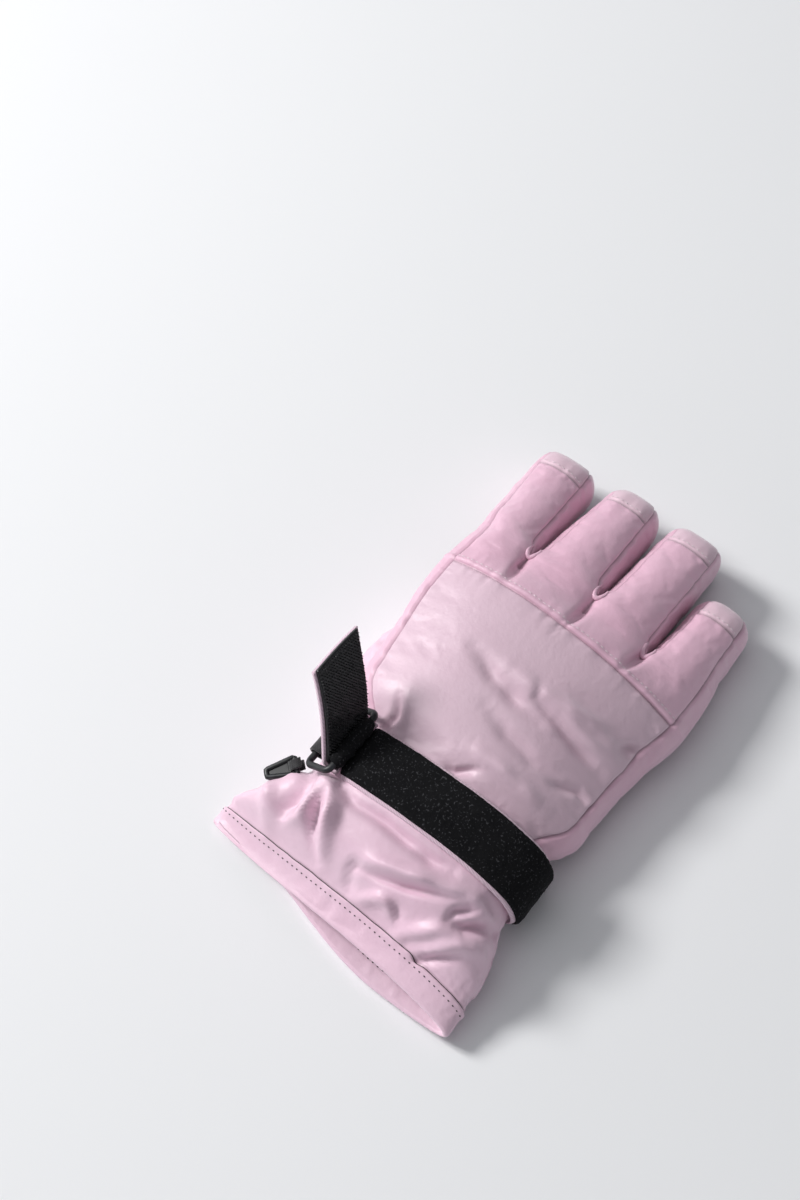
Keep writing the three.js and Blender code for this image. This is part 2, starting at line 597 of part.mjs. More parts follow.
// ---------- assembly ----------
const glove = new THREE.Group();
const model = new THREE.Group();
model.add(hand(), ...FINGERS.map(finger), thumb(), cuff(), strap(), ring(), tab(), clip());
model.add(
  tapeLoop('ring_anchor', LOWER_BAR, RING.bar / Math.SQRT2 + GAP, STRAP.y - 10, STRAP.y + 10, 3, degToRad(200)),
);
model.position.copy(ORIGIN).multiplyScalar(-1);
glove.add(model);

export default glove;
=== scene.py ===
"""Insulated ski glove for the right hand, lying palm down: fabric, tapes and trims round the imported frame.

Lengths are millimetres in the part's frame: +Y to the fingertips, +X to the little finger, +Z up.
A panel is a grid of points [row][column]: rows run towards the fingertips, and columns run left to
right on the back and the palm, and top to bottom on the sides.
"""
import json
import math

import bpy
import numpy as np
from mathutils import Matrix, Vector
from mathutils.kdtree import KDTree

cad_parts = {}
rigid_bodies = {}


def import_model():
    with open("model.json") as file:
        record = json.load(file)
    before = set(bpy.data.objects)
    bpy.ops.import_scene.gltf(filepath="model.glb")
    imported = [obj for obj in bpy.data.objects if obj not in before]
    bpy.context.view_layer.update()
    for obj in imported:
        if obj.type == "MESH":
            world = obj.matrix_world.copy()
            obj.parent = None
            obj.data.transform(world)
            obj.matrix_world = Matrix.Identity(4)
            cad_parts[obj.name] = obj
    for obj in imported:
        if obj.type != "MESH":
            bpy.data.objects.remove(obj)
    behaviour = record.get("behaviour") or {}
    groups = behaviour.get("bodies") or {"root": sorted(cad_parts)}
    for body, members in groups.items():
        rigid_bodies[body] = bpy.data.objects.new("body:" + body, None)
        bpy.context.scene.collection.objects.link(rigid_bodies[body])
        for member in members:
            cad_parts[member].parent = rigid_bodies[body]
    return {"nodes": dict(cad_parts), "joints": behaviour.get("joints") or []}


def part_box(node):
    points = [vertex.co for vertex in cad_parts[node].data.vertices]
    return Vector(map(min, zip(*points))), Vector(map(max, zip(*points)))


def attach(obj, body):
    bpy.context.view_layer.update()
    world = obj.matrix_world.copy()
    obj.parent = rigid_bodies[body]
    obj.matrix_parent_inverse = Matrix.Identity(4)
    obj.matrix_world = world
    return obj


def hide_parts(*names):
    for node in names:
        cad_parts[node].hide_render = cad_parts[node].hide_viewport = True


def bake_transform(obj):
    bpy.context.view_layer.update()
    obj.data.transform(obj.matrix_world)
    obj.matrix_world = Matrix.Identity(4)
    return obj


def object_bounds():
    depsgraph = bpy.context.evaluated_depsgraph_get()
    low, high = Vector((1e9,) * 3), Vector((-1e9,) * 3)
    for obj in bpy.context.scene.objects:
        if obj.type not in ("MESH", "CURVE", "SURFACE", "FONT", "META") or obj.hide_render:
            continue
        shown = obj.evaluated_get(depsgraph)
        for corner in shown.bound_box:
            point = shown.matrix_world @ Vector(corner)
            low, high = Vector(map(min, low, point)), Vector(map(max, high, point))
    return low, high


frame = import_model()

cad_box = [list(corner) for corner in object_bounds()]
MM = 0.001
FINGERS = ("index", "middle", "ring", "little")
FLOOR_GAP = 0.3       # the least height of the fabric over the floor
MOST_SWELL = 3.2      # how far the air inside may move a point


# ---------- measuring the frame ----------
def points_of(node):
    mesh = frame["nodes"][node].data
    flat = np.empty(3 * len(mesh.vertices))
    mesh.vertices.foreach_get("co", flat)
    return flat.reshape(-1, 3) / MM


def low_high(node):
    low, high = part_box(node)
    return np.array(low) / MM, np.array(high) / MM


def joint_at(name):
    return next(joint["pos_m"] for joint in frame["joints"] if joint["name"] == name)


def rows_of(*nodes):
    """The nodes' vertices as [(y, points)], one entry for each full row of equal y."""
    points = np.vstack([points_of(node) for node in nodes])
    levels = points[:, 1].round(1)
    rows = [(level, points[levels == level]) for level in np.unique(levels)]
    return [(y, row) for y, row in rows if len(row) > 20]


def curve(ys, values):
    """A smooth function of y through measured values."""
    ys, order = np.unique(np.array(ys, float), return_index=True)
    values = np.array(values, float)[order]
    slopes = np.gradient(values, ys)

    def at(y):
        y = np.clip(y, ys[0], ys[-1])
        i = np.clip(np.searchsorted(ys, y, side="right") - 1, 0, len(ys) - 2)
        span = ys[i + 1] - ys[i]
        t = (y - ys[i]) / span
        a = (2 * t**3 - 3 * t**2 + 1) * values[i] + (t**3 - 2 * t**2 + t) * span * slopes[i]
        return a + (3 * t**2 - 2 * t**3) * values[i + 1] + (t**3 - t**2) * span * slopes[i + 1]

    return at


def mix(a, b, t):
    return a + (b - a) * t


def ease(t):
    t = np.clip(t, 0, 1)
    return t * t * (3 - 2 * t)


def bump(s, power=2.4):
    return 1 - np.abs(s) ** power


def above_line(points, a, b):
    return points[:, 2] - np.interp(points[:, 0], [a[0], b[0]], [a[2], b[2]])


def measure_seams(*nodes):
    """The left and right seam of a face of the hand, and the height of its middle over them."""
    rows = rows_of(*nodes)
    ys = [y for y, _ in rows]
    left = np.array([row[row[:, 0].argmin()] for _, row in rows])
    right = np.array([row[row[:, 0].argmax()] for _, row in rows])
    upper = nodes[0] == "back_panel"
    heights = []
    for (_, row), a, b in zip(rows, left, right):
        middle = row[np.abs(row[:, 0] - (a[0] + b[0]) / 2) < 0.2 * (b[0] - a[0])]
        over = above_line(middle, a, b)
        heights.append(over.max() if upper else over.min())
    return {
        "lx": curve(ys, left[:, 0]), "lz": curve(ys, left[:, 2]),
        "rx": curve(ys, right[:, 0]), "rz": curve(ys, right[:, 2]),
        "rise": curve(ys, heights),
    }


TOP = measure_seams("back_panel", "knuckle_yoke")
LOW = measure_seams("palm_panel", "wrist_elastic")
WRIST_Y = low_high("back_panel")[0][1]
ELASTIC_Y = low_high("wrist_elastic")[1][1]
KNUCKLE_Y = low_high("back_panel")[1][1]
ROOT_Y = low_high("knuckle_yoke")[1][1]
CROTCHES = (ROOT_Y + 7.0, ROOT_Y + 9.0, ROOT_Y + 1.6)
TIP_ROUND = 11.0
CAP_UNDER_STEP = 4
ROUND_STEPS = 12
FINGER_CROWN = 4.4
SIDE_REACH = 3.8


def side_swell(y):
    """How far the little-finger side strip stands out between its seams."""
    rows = rows_of("little_side_strip")
    swell = [row[:, 0].max() - (TOP["rx"](v) + LOW["rx"](v)) / 2 for v, row in rows]
    return curve([v for v, _ in rows], swell)(y)


def measure_finger(name):
    """A finger's seams at its root and at its tip."""
    rows = rows_of(name + "_back")
    first, last = rows[0][1], rows[-1][1]
    tip = low_high(name + "_cap")[1][1]
    ends = {"tip": tip, "straight": tip - TIP_ROUND, "cap": rows[-1][0], "y0": rows[0][0]}
    for key, pick in (("left", np.argmin), ("right", np.argmax)):
        ends[key] = (first[pick(first[:, 0])], last[pick(last[:, 0])])
    ends["low"] = low_high(name + "_palm")[0][2] + 2.6
    return ends


SPEC = [measure_finger(name) for name in FINGERS]
SLABS = [(SPEC[i]["right"][0][0] + SPEC[i + 1]["left"][0][0]) / 2 for i in range(3)]
TOP_BOUNDS = np.array([TOP["lx"](ROOT_Y), *SLABS, TOP["rx"](ROOT_Y)])
LOW_BOUNDS = np.array([LOW["lx"](ROOT_Y), *SLABS, LOW["rx"](ROOT_Y)])
SEAM_TOPS = np.array([
    TOP["lz"](ROOT_Y),
    *[(SPEC[i]["right"][0][2] + SPEC[i + 1]["left"][0][2]) / 2 - 1.5 for i in range(3)],
    TOP["rz"](ROOT_Y),
])

# ---------- grids of the hand and fingers ----------
ACROSS = 28
AROUND = 16
STEP = 0.95


def spread(count, amount=0.5):
    """0 to 1 in steps that are closer together near both ends."""
    t = np.linspace(0, 1, count + 1)
    return mix(t, (1 - np.cos(np.pi * t)) / 2, amount)


def stations(*marks):
    """y values through the marks, in an even number of steps of about STEP between each two."""
    ys = [marks[0]]
    for a, b in zip(marks, marks[1:]):
        count = 2 * max(1, round((b - a) / STEP / 2))
        ys.extend(a + (b - a) * spread(count)[1:])
    return np.array(ys)


def lobes(y):
    """How far the smooth hand has turned into separate fingers at y."""
    return ease((y - KNUCKLE_Y - 3) / (ROOT_Y + 6 - KNUCKLE_Y - 3))


def hand_top(k, y):
    return mix(TOP["lz"](y), TOP["rz"](y), k) + TOP["rise"](y) * bump(2 * k - 1)


def hand_low(k, y):
    return mix(LOW["lz"](y), LOW["rz"](y), k) + LOW["rise"](y) * bump(2 * k - 1)


TOP_SHARE = (TOP_BOUNDS - TOP_BOUNDS[0]) / (TOP_BOUNDS[-1] - TOP_BOUNDS[0])
LOW_SHARE = (LOW_BOUNDS - LOW_BOUNDS[0]) / (LOW_BOUNDS[-1] - LOW_BOUNDS[0])
SEAM_LOWS = hand_low(LOW_SHARE, ROOT_Y)


def finger_progress(index, y):
    """How far each edge of a finger has come from its root to where the tip rounds."""
    spec = SPEC[index]
    starts = (ROOT_Y if index == 0 else CROTCHES[index - 1], ROOT_Y if index == 3 else CROTCHES[index])
    return [np.clip((y - s) / (spec["straight"] - s), 0, 1) for s in starts], starts


def finger_strip(index, upper, y, cells):
    """The back or palm strip of a finger, which starts as the surface of the hand."""
    spec = SPEC[index]
    y = np.asarray(y, float)[:, None]
    k = np.asarray(cells)[None, :]
    bounds, share = (TOP_BOUNDS, TOP_SHARE) if upper else (LOW_BOUNDS, LOW_SHARE)
    seam = SEAM_TOPS if upper else SEAM_LOWS
    along, starts = finger_progress(index, y)
    turn = np.clip((y - spec["straight"]) / TIP_ROUND, 0, 1)
    open_up = np.sqrt(np.maximum(1 - turn**2.5, 0))
    narrow = 4.6 * turn**2.6
    edge_x, edge_z = [], []
    for side, (key, sign) in enumerate((("left", 1), ("right", -1))):
        root, end = spec[key]
        slope = (end[0] - root[0]) / (end[1] - root[1])
        straight = root[0] + slope * (np.minimum(y, spec["straight"]) - root[1])
        reach = 20 if starts[side] == ROOT_Y and (index, side) in ((0, 0), (3, 1)) else 9
        x = mix(bounds[index + side], straight, ease((y - starts[side]) / reach)) + sign * narrow
        tip_z = end[2] if upper else spec["low"]
        middle = (end[2] + spec["low"]) / 2 - 1
        z = mix(seam[index + side], tip_z, along[side])
        edge_x.append(x)
        edge_z.append(mix(middle, z, open_up))
    fade = np.sqrt(np.clip((spec["tip"] - y) / TIP_ROUND, 0, 1))
    crown = FINGER_CROWN if upper else -0.5 * FINGER_CROWN
    z = mix(edge_z[0], edge_z[1], k) + crown * bump(2 * k - 1, 2.8) * fade
    smooth = (hand_top if upper else hand_low)(mix(share[index], share[index + 1], k), ROOT_Y)
    z = mix(smooth, z, lobes(y))
    return np.stack([mix(edge_x[0], edge_x[1], k), y + 0 * k, z], axis=-1)


def finger_side(index, direction, y):
    """A side strip of a finger, from its upper seam down to its lower one."""
    end = [0.0 if direction < 0 else 1.0]
    top = finger_strip(index, True, y, end)
    low = finger_strip(index, False, y, end)
    spec = SPEC[index]
    if (direction < 0 and index == 0) or (direction > 0 and index == 3):
        reach = mix(side_swell(ROOT_Y), SIDE_REACH, ease((y - ROOT_Y) / 25))
    else:
        slab = SLABS[index - 1] if direction < 0 else SLABS[index]
        reach = np.clip(np.abs(slab - top[:, 0, 0]) * 0.8, 0, SIDE_REACH)
    turn = np.clip((y - spec["straight"]) / TIP_ROUND, 0, 1)
    reach = reach * (1 - turn**2.2) ** 0.6
    return bowed(top[:, 0], low[:, 0], direction, reach)


def bowed(top, low, direction, reach):
    q = spread(AROUND, 0.4)[None, :]
    grid = mix(top[:, None], low[:, None], q[..., None])
    grid[..., 0] += direction * reach[:, None] * bump(2 * q - 1, 2.2)
    return grid


def hand_face(upper, y):
    """The back or the palm of the hand, with the columns of the four fingers."""
    y = np.asarray(y, float)[:, None]
    face, share, seam = (TOP, TOP_SHARE, SEAM_TOPS) if upper else (LOW, LOW_SHARE, SEAM_LOWS)
    cells = spread(ACROSS)
    crown = FINGER_CROWN if upper else -0.5 * FINGER_CROWN
    k = np.concatenate([[0.0], *[mix(share[i], share[i + 1], cells[1:]) for i in range(4)]])[None, :]
    rise = crown * bump(2 * cells - 1, 2.8)
    lobed = [mix(seam[i], seam[i + 1], cells) + rise for i in range(4)]
    finger = np.concatenate([lobed[0], *[row[1:] for row in lobed[1:]]])[None, :]
    z = mix((hand_top if upper else hand_low)(k, y), finger, lobes(y))
    return np.stack([mix(face["lx"](y), face["rx"](y), k), y + 0 * k, z], axis=-1)


def hand_and_fingers():
    """{panel name: (grid, True if its faces must be turned over)}; the caps come as two grids each."""
    ys = stations(WRIST_Y, ELASTIC_Y, KNUCKLE_Y, ROOT_Y)
    elastic_row = int(np.abs(ys - ELASTIC_Y).argmin())
    knuckle_row = int(np.abs(ys - KNUCKLE_Y).argmin())
    back, palm = hand_face(True, ys), hand_face(False, ys)
    reach = side_swell(ys)
    grids = {
        "back_panel": (back[:knuckle_row + 1], False),
        "knuckle_yoke": (back[knuckle_row:], False),
        "wrist_elastic": (palm[:elastic_row + 1], True),
        "palm_panel": (palm[elastic_row:], True),
        "index_side_strip": (bowed(back[:, 0], palm[:, 0], -1, reach), True),
        "little_side_strip": (bowed(back[:, -1], palm[:, -1], 1, reach), False),
    }
    cells = spread(ACROSS)
    first = stations(ROOT_Y, *sorted(CROTCHES))
    for i, name in enumerate(FINGERS):
        spec = SPEC[i]
        long_rows = stations(first[-1], spec["cap"], spec["straight"])[1:]
        angles = np.linspace(0, np.pi / 2, ROUND_STEPS + 1)[1:]
        rows = np.concatenate([first, long_rows, spec["straight"] + TIP_ROUND * np.sin(angles)])
        cap_row = int(np.abs(rows - spec["cap"]).argmin())
        under_row = len(rows) - 1 - ROUND_STEPS + CAP_UNDER_STEP
        top = finger_strip(i, True, rows, cells)
        low = finger_strip(i, False, rows, cells)
        grids[name + "_back"] = (top[:cap_row + 1], False)
        grids[name + "_palm"] = (low[:under_row + 1], True)
        grids[name + "_cap"] = (top[cap_row:], False)
        grids[name + "_cap.under"] = (low[under_row:], True)
        for part, direction in (("_inner_strip", -1), ("_outer_strip", 1)):
            outer = (i == 0 and direction < 0) or (i == 3 and direction > 0)
            start = 0 if outer else int(np.abs(rows - CROTCHES[i - 1 if direction < 0 else i]).argmin())
            grids[name + part] = (finger_side(i, direction, rows[start:]), direction < 0)
    return grids


# ---------- welded surfaces ----------
def weld(grids):
    """The distinct points of all grids, and for each grid the indices of its points among them."""
    points = np.vstack([grid.reshape(-1, 3) for grid in grids.values()])
    keys = np.round((points + 0.00317) / 0.02).astype(np.int64)
    _, first, inverse = np.unique(keys, axis=0, return_index=True, return_inverse=True)
    inverse = inverse.reshape(-1)
    index = {}
    start = 0
    for name, grid in grids.items():
        count = grid.shape[0] * grid.shape[1]
        index[name] = inverse[start:start + count].reshape(grid.shape[:2])
        start += count
    return points[first], index


def quads(ids, flip):
    a, b, c, d = ids[:-1, :-1], ids[:-1, 1:], ids[1:, 1:], ids[1:, :-1]
    return np.stack([a, d, c, b] if flip else [a, b, c, d], axis=-1).reshape(-1, 4)


def clean(faces):
    """The faces as lists without repeated corners, leaving out those with no area."""
    out = []
    for face in faces.tolist():
        corners = list(dict.fromkeys(face))
        if len(corners) > 2:
            out.append(corners)
    return out


def normals_of(points, faces):
    total = np.zeros_like(points)
    a, b, c, d = (points[faces[:, i]] for i in range(4))
    normal = np.cross(c - a, d - b)
    for i in range(4):
        np.add.at(total, faces[:, i], normal)
    size = np.linalg.norm(total, axis=1, keepdims=True)
    return total / np.maximum(size, 1e-9)


def inflate(points, faces, pins, pressure, slack):
    """The points after cloth with air inside has settled between the pinned seams."""
    mesh = bpy.data.meshes.new("cloth")
    mesh.from_pydata((points * MM).tolist(), [], clean(faces))
    cloth = bpy.data.objects.new("cloth", mesh)
    bpy.context.scene.collection.objects.link(cloth)
    cloth.vertex_groups.new(name="pin").add([int(i) for i in pins], 1.0, "REPLACE")
    modifier = cloth.modifiers.new("cloth", "CLOTH")
    settings = modifier.settings
    settings.quality = 5
    settings.mass = 0.15
    settings.tension_stiffness = 15
    settings.compression_stiffness = 15
    settings.shear_stiffness = 8
    settings.bending_stiffness = 0.2
    settings.vertex_group_mass = "pin"
    settings.use_pressure = True
    settings.uniform_pressure_force = pressure
    settings.shrink_min = -slack
    settings.effector_weights.gravity = 0
    modifier.point_cache.frame_start = 1
    modifier.point_cache.frame_end = 20
    for step in range(1, 21):
        bpy.context.scene.frame_set(step)
    shown = cloth.evaluated_get(bpy.context.evaluated_depsgraph_get())
    flat = np.empty(3 * len(points))
    shown.data.vertices.foreach_get("co", flat)
    bpy.context.scene.frame_set(1)
    bpy.data.objects.remove(cloth)
    moved = flat.reshape(-1, 3) / MM - points
    size = np.linalg.norm(moved, axis=1, keepdims=True)
    return points + moved * np.minimum(1, MOST_SWELL / np.maximum(size, 1e-9))


def refine(coarse, shape):
    """A coarse grid of moves brought to the size of the fine grid, which has a point between each two."""
    rows = np.zeros((shape[0], coarse.shape[1], 3))
    rows[::2] = coarse
    rows[1::2] = (coarse[:-1] + coarse[1:]) / 2
    full = np.zeros((shape[0], shape[1], 3))
    full[:, ::2] = rows
    full[:, 1::2] = (rows[:, :-1] + rows[:, 1:]) / 2
    return full


# ---------- noise and folds ----------
def hash01(cell, seed):
    """A repeatable number between 0 and 1 for each whole-numbered cell."""
    cell = cell.astype(np.int64)
    h = cell[..., 0] * 73856093 ^ cell[..., 1] * 19349663 ^ cell[..., 2] * 83492791 ^ (seed * 2654435761)
    h = (h ^ (h >> 13)) * 1274126177 & 0x7FFFFFFF
    h = (h ^ (h >> 16)) * 668265263 & 0x7FFFFFFF
    return h / 0x7FFFFFFF


def noise(points, size, seed):
    """Smooth noise from -1 to 1 whose lumps are about size across."""
    p = points / size
    base = np.floor(p)
    t = p - base
    t = t * t * (3 - 2 * t)
    total = 0
    for corner in np.ndindex(2, 2, 2):
        weight = np.prod([t[..., i] if corner[i] else 1 - t[..., i] for i in range(3)], axis=0)
        total = total + weight * hash01(base + np.array(corner), seed)
    return 2 * total - 1


def near_line(points, line):
    """Distance from each point to a polyline, both seen from above, and how far along it that is."""
    line = np.array(line, float)
    lengths = np.linalg.norm(np.diff(line, axis=0), axis=1)
    total = lengths.sum()
    best = np.full(len(points), 1e9)
    where = np.zeros(len(points))
    done = 0.0
    for a, b, length in zip(line, line[1:], lengths):
        way = (b - a) / length
        offset = points[:, :2] - a
        t = offset @ way
        inside = np.clip(t, 0, length)
        distance = np.linalg.norm(offset - inside[:, None] * way, axis=1)
        closer = distance < best
        best = np.where(closer, distance, best)
        where = np.where(closer, (done + inside) / total, where)
        done += length
    return best, where


def folds(points, creases):
    """Height of the given creases at each point. A crease is (height, width, line seen from above)."""
    total = np.zeros(len(points))
    wobble = noise(points * [1, 1, 0], 7.0, 11)
    for height, width, line in creases:
        distance, where = near_line(points, line)
        taper = np.clip(np.sin(np.pi * np.clip(where, 0.03, 0.97)), 0, 1) ** 0.55
        total += height * taper * (1 + 0.25 * wobble) * np.exp(-(distance / width) ** 2)
    return total


# Ridges (+) and valleys (-) of the back of the hand: height, width, line.
BACK_FOLDS = (
    (-1.9, 3.2, [(-18, 4), (-4, -1), (9, -3), (20, -3)]),
    (-0.8, 1.8, [(12, 8), (14, 3), (20, 2)]),
    (1.5, 3.6, [(-2, 6), (11, 5), (25, 8), (40, 11), (55, 9)]),
    (-1.8, 2.6, [(15, 2), (27, 1), (38, -1), (49, -1)]),
    (1.2, 2.8, [(24, 3), (40, 4), (50, 5), (58, 6)]),
    (-1.6, 1.7, [(50, 11), (57, 19)]),
    (-1.4, 3.2, [(1, -13), (14, -17), (28, -18), (43, -16)]),
    (1.3, 3.2, [(5, -30), (17, -29), (29, -29), (42, -30)]),
    (-1.4, 1.8, [(39, -19), (48, -14), (54, -15)]),
    (-1.3, 1.6, [(1, -42), (6, -41), (13, -35)]),
    (-1.6, 2.0, [(-31, -29), (-27, -36), (-30, -45)]),
)
# The same for the back of the cuff.
CUFF_FOLDS = (
    (2.6, 2.9, [(-31, -70), (-32, -82), (-31, -93), (-36, -98)]),
    (-2.2, 3.0, [(-36, -79), (-38, -85), (-41, -91), (-38, -99)]),
    (1.7, 5.0, [(-40, -76), (-47, -80), (-54, -86)]),
    (1.8, 3.4, [(-53, -84), (-48, -94), (-42, -103), (-40, -109)]),
    (2.8, 3.2, [(-31, -70), (-24, -81), (-19, -93), (-14, -104)]),
    (-2.4, 2.1, [(-30, -79), (-27, -88), (-24, -96), (-15, -104)]),
    (-2.2, 2.4, [(-26, -72), (-17, -75), (-3, -74), (8, -75), (22, -75), (30, -73)]),
    (2.7, 3.0, [(-1, -91), (8, -88), (20, -84), (32, -81), (42, -77), (49, -77)]),
    (-2.4, 1.9, [(-1, -95), (7, -93), (19, -89), (29, -84), (39, -79), (44, -78)]),
    (-1.9, 1.8, [(-2, -91), (-2, -98), (1, -105)]),
    (1.9, 2.8, [(5, -107), (13, -100), (18, -99), (23, -103)]),
    (-1.7, 1.7, [(18, -97), (22, -99), (24, -103)]),
    (-2.8, 2.0, [(40, -89), (46, -87), (52, -81), (55, -79)]),
    (-1.8, 1.6, [(39, -88), (40, -84), (45, -79)]),
    (2.2, 3.0, [(25, -111), (30, -103), (38, -95), (45, -91)]),
    (2.2, 2.8, [(33, -110), (39, -103), (47, -94), (55, -89)]),
    (-2.0, 1.8, [(36, -111), (44, -103), (50, -97)]),
)


class Surface:
    """Panels that meet along seams: welded together, inflated, folded, and then cut up into pieces."""

    def __init__(self, panels, seams, pinned, pressure, slack):
        grids = {name: grid for name, (grid, _) in panels.items()}
        self.flips = {name: flip for name, (_, flip) in panels.items()}
        coarse, index = weld({name: grid[::2, ::2] for name, grid in grids.items()})
        faces = np.vstack([quads(ids, self.flips[name]) for name, ids in index.items()])
        pins = np.unique(np.concatenate([index[name][line] for name, line in pinned]))
        moved = inflate(coarse, faces, pins, pressure, slack) - coarse
        self.grids = {name: grid + refine(moved[index[name]], grid.shape) for name, grid in grids.items()}
        self.rest, self.ids = weld(grids)
        self.points = np.zeros_like(self.rest)
        for name, ids in self.ids.items():
            self.points[ids] = self.grids[name]
        self.faces = np.vstack([quads(ids, self.flips[name]) for name, ids in self.ids.items()])
        self.seams = np.unique(np.concatenate([self.ids[name][line] for name, line in seams]))
        self.find_seam_distance()

    def find_seam_distance(self):
        tree = KDTree(len(self.seams))
        for i, at in enumerate(self.points[self.seams]):
            tree.insert(at, i)
        tree.balance()
        found = [tree.find(at) for at in self.points]
        self.to_seam = np.array([distance for _, _, distance in found])
        self.seam_at = np.array([list(at) for at, _, _ in found])

    def push(self, amount):
        """Moves each point outwards by its amount."""
        self.points = self.points + normals_of(self.points, self.faces) * amount[:, None]

    def normals(self):
        return normals_of(self.points, self.faces)


def add_piece(name, points, faces, material, normals=None, colour=None):
    """A smooth mesh piece with the given material."""
    mesh = bpy.data.meshes.new(name)
    mesh.from_pydata((np.asarray(points) * MM).tolist(), [], faces)
    mesh.polygons.foreach_set("use_smooth", [True] * len(mesh.polygons))
    # The seam attribute holds the distance to a seam, from which the shell looks paint shade along the seams.
    if colour is not None:
        layer = mesh.attributes.new("seam", "FLOAT", "POINT")
        layer.data.foreach_set("value", np.asarray(colour, np.float32))
    if normals is not None:
        mesh.normals_split_custom_set_from_vertices([tuple(n) for n in normals])
    mesh.materials.append(material)
    piece = bpy.data.objects.new(name + "_made", mesh)
    bpy.context.scene.collection.objects.link(piece)
    return piece


def cut_out(surface, name, panels, material, colour=None):
    """The piece made of these panels of a surface."""
    faces = np.vstack([quads(surface.ids[p], surface.flips[p]) for p in panels])
    used, compact = np.unique(faces, return_inverse=True)
    compact = compact.reshape(faces.shape)
    # Distance to the nearest seam, which the shell looks turn into painted seam shade.
    shade = surface.to_seam if colour is None else colour
    return add_piece(name, surface.points[used], clean(compact), material,
                     surface.normals()[used], shade[used])


# ---------- looks ----------
class Look:
    """A procedural material, built up node by node."""

    def __init__(self, name, colour, roughness, sheen=0.0):
        self.material = bpy.data.materials.new(name)
        self.material.use_nodes = True
        self.tree = self.material.node_tree
        self.tree.nodes.clear()
        output = self.node("ShaderNodeOutputMaterial")
        self.shader = self.node("ShaderNodeBsdfPrincipled")
        self.link(self.shader.outputs[0], output.inputs[0])
        self.set(self.shader, {"Base Color": (*colour, 1), "Roughness": roughness, "Sheen Weight": sheen})
        self.place = self.node("ShaderNodeTexCoord").outputs["Object"]
        self.height = None

    def node(self, kind, values=None):
        made = self.tree.nodes.new(kind)
        self.set(made, values or {})
        return made

    def set(self, node, values):
        for key, value in values.items():
            if key in node.inputs:
                node.inputs[key].default_value = value
            else:
                setattr(node, key, value)

    def link(self, a, b):
        self.tree.links.new(a, b)

    def noise(self, scale, detail=3.0):
        made = self.node("ShaderNodeTexNoise", {"Scale": scale, "Detail": detail})
        self.link(self.place, made.inputs["Vector"])
        return made.outputs[0]

    def threads(self, pitch, direction):
        """Parallel ribs; the wave texture has 20 radians of phase for each unit of scale."""
        made = self.node("ShaderNodeTexWave", {"bands_direction": direction, "Distortion": 0.6,
                                               "Detail": 1.0, "Scale": math.tau / 20 / (pitch * MM)})
        self.link(self.place, made.inputs["Vector"])
        return made.outputs[1]

    def remap(self, value, low, high, to_low, to_high):
        made = self.node("ShaderNodeMapRange", {"From Min": low, "From Max": high,
                                                "To Min": to_low, "To Max": to_high})
        self.link(value, made.inputs["Value"])
        return made.outputs[0]

    def math(self, operation, a, b):
        made = self.node("ShaderNodeMath", {"operation": operation})
        for socket, value in zip(made.inputs, (a, b)):
            if isinstance(value, float):
                socket.default_value = value
            else:
                self.link(value, socket)
        return made.outputs[0]

    def blend_colour(self, factor, a, b):
        """Colour a where the factor is 0 and colour b where it is 1; either may be another socket."""
        made = self.node("ShaderNodeMix", {"data_type": "RGBA"})
        self.link(factor, made.inputs[0])
        for socket, value in ((made.inputs[6], a), (made.inputs[7], b)):
            if isinstance(value, tuple):
                socket.default_value = (*value, 1)
            else:
                self.link(value, socket)
        return made.outputs[2]

    def attribute(self, name):
        return self.node("ShaderNodeAttribute", {"attribute_name": name}).outputs["Fac"]

    def bump(self, height, distance, strength=1.0):
        made = self.node("ShaderNodeBump", {"Distance": distance * MM, "Strength": strength})
        self.link(height, made.inputs["Height"])
        if self.height is not None:
            self.link(self.height, made.inputs["Normal"])
        self.height = made.outputs[0]
        self.link(self.height, self.shader.inputs["Normal"])

    def colour(self, socket):
        self.link(socket, self.shader.inputs["Base Color"])

    def rough(self, socket):
        self.link(socket, self.shader.inputs["Roughness"])


def weave(look, pitch, distance):
    look.bump(look.math("MULTIPLY", look.threads(pitch, "X"), look.threads(pitch, "Y")), distance)


def shell_look(name, colour, deep, roughness):
    """Coated fabric: a fine weave, a soft sheen, slow colour variation, and painted shade that darkens the
    colour along the seams.
    """
    look = Look(name, colour, roughness, 0.25)
    tone = look.blend_colour(look.remap(look.noise(28.0), 0.3, 0.7, 0.0, 0.35), colour, deep)
    # Painted shade: within about a millimetre of a seam the colour darkens towards half the deep tone, as
    # shade lying in the seam's groove.
    seam = look.remap(look.attribute("seam"), 0.05, 0.8, 0.75, 0.0)
    look.colour(look.blend_colour(seam, tone, tuple(0.5 * c for c in deep)))
    look.rough(look.remap(look.noise(90.0), 0.3, 0.7, roughness - 0.08, roughness + 0.1))
    look.bump(look.noise(420.0, 4.0), 0.16)
    weave(look, 0.42, 0.035)
    return look.material


def grip_look():
    """Black embossed palm fabric with a grid of fine ribs."""
    look = Look("grip_fabric", (0.016, 0.016, 0.018), 0.5, 0.15)
    wear = look.remap(look.noise(60.0), 0.35, 0.75, 0.0, 1.0)
    look.colour(look.blend_colour(wear, (0.013, 0.013, 0.015), (0.03, 0.03, 0.034)))
    look.bump(look.math("MAXIMUM", look.threads(2.0, "X"), look.threads(2.0, "Y")), 0.25)
    weave(look, 0.4, 0.04)
    look.rough(look.remap(look.noise(300.0), 0.3, 0.7, 0.42, 0.62))
    return look.material


def knit_look():
    """Black lining with fine ribs."""
    look = Look("ribbed_lining", (0.02, 0.02, 0.022), 0.85, 0.4)
    look.colour(look.blend_colour(look.noise(180.0), (0.014, 0.014, 0.016), (0.034, 0.034, 0.037)))
    look.bump(look.threads(1.1, "X"), 0.35)
    look.bump(look.noise(900.0), 0.08)
    return look.material


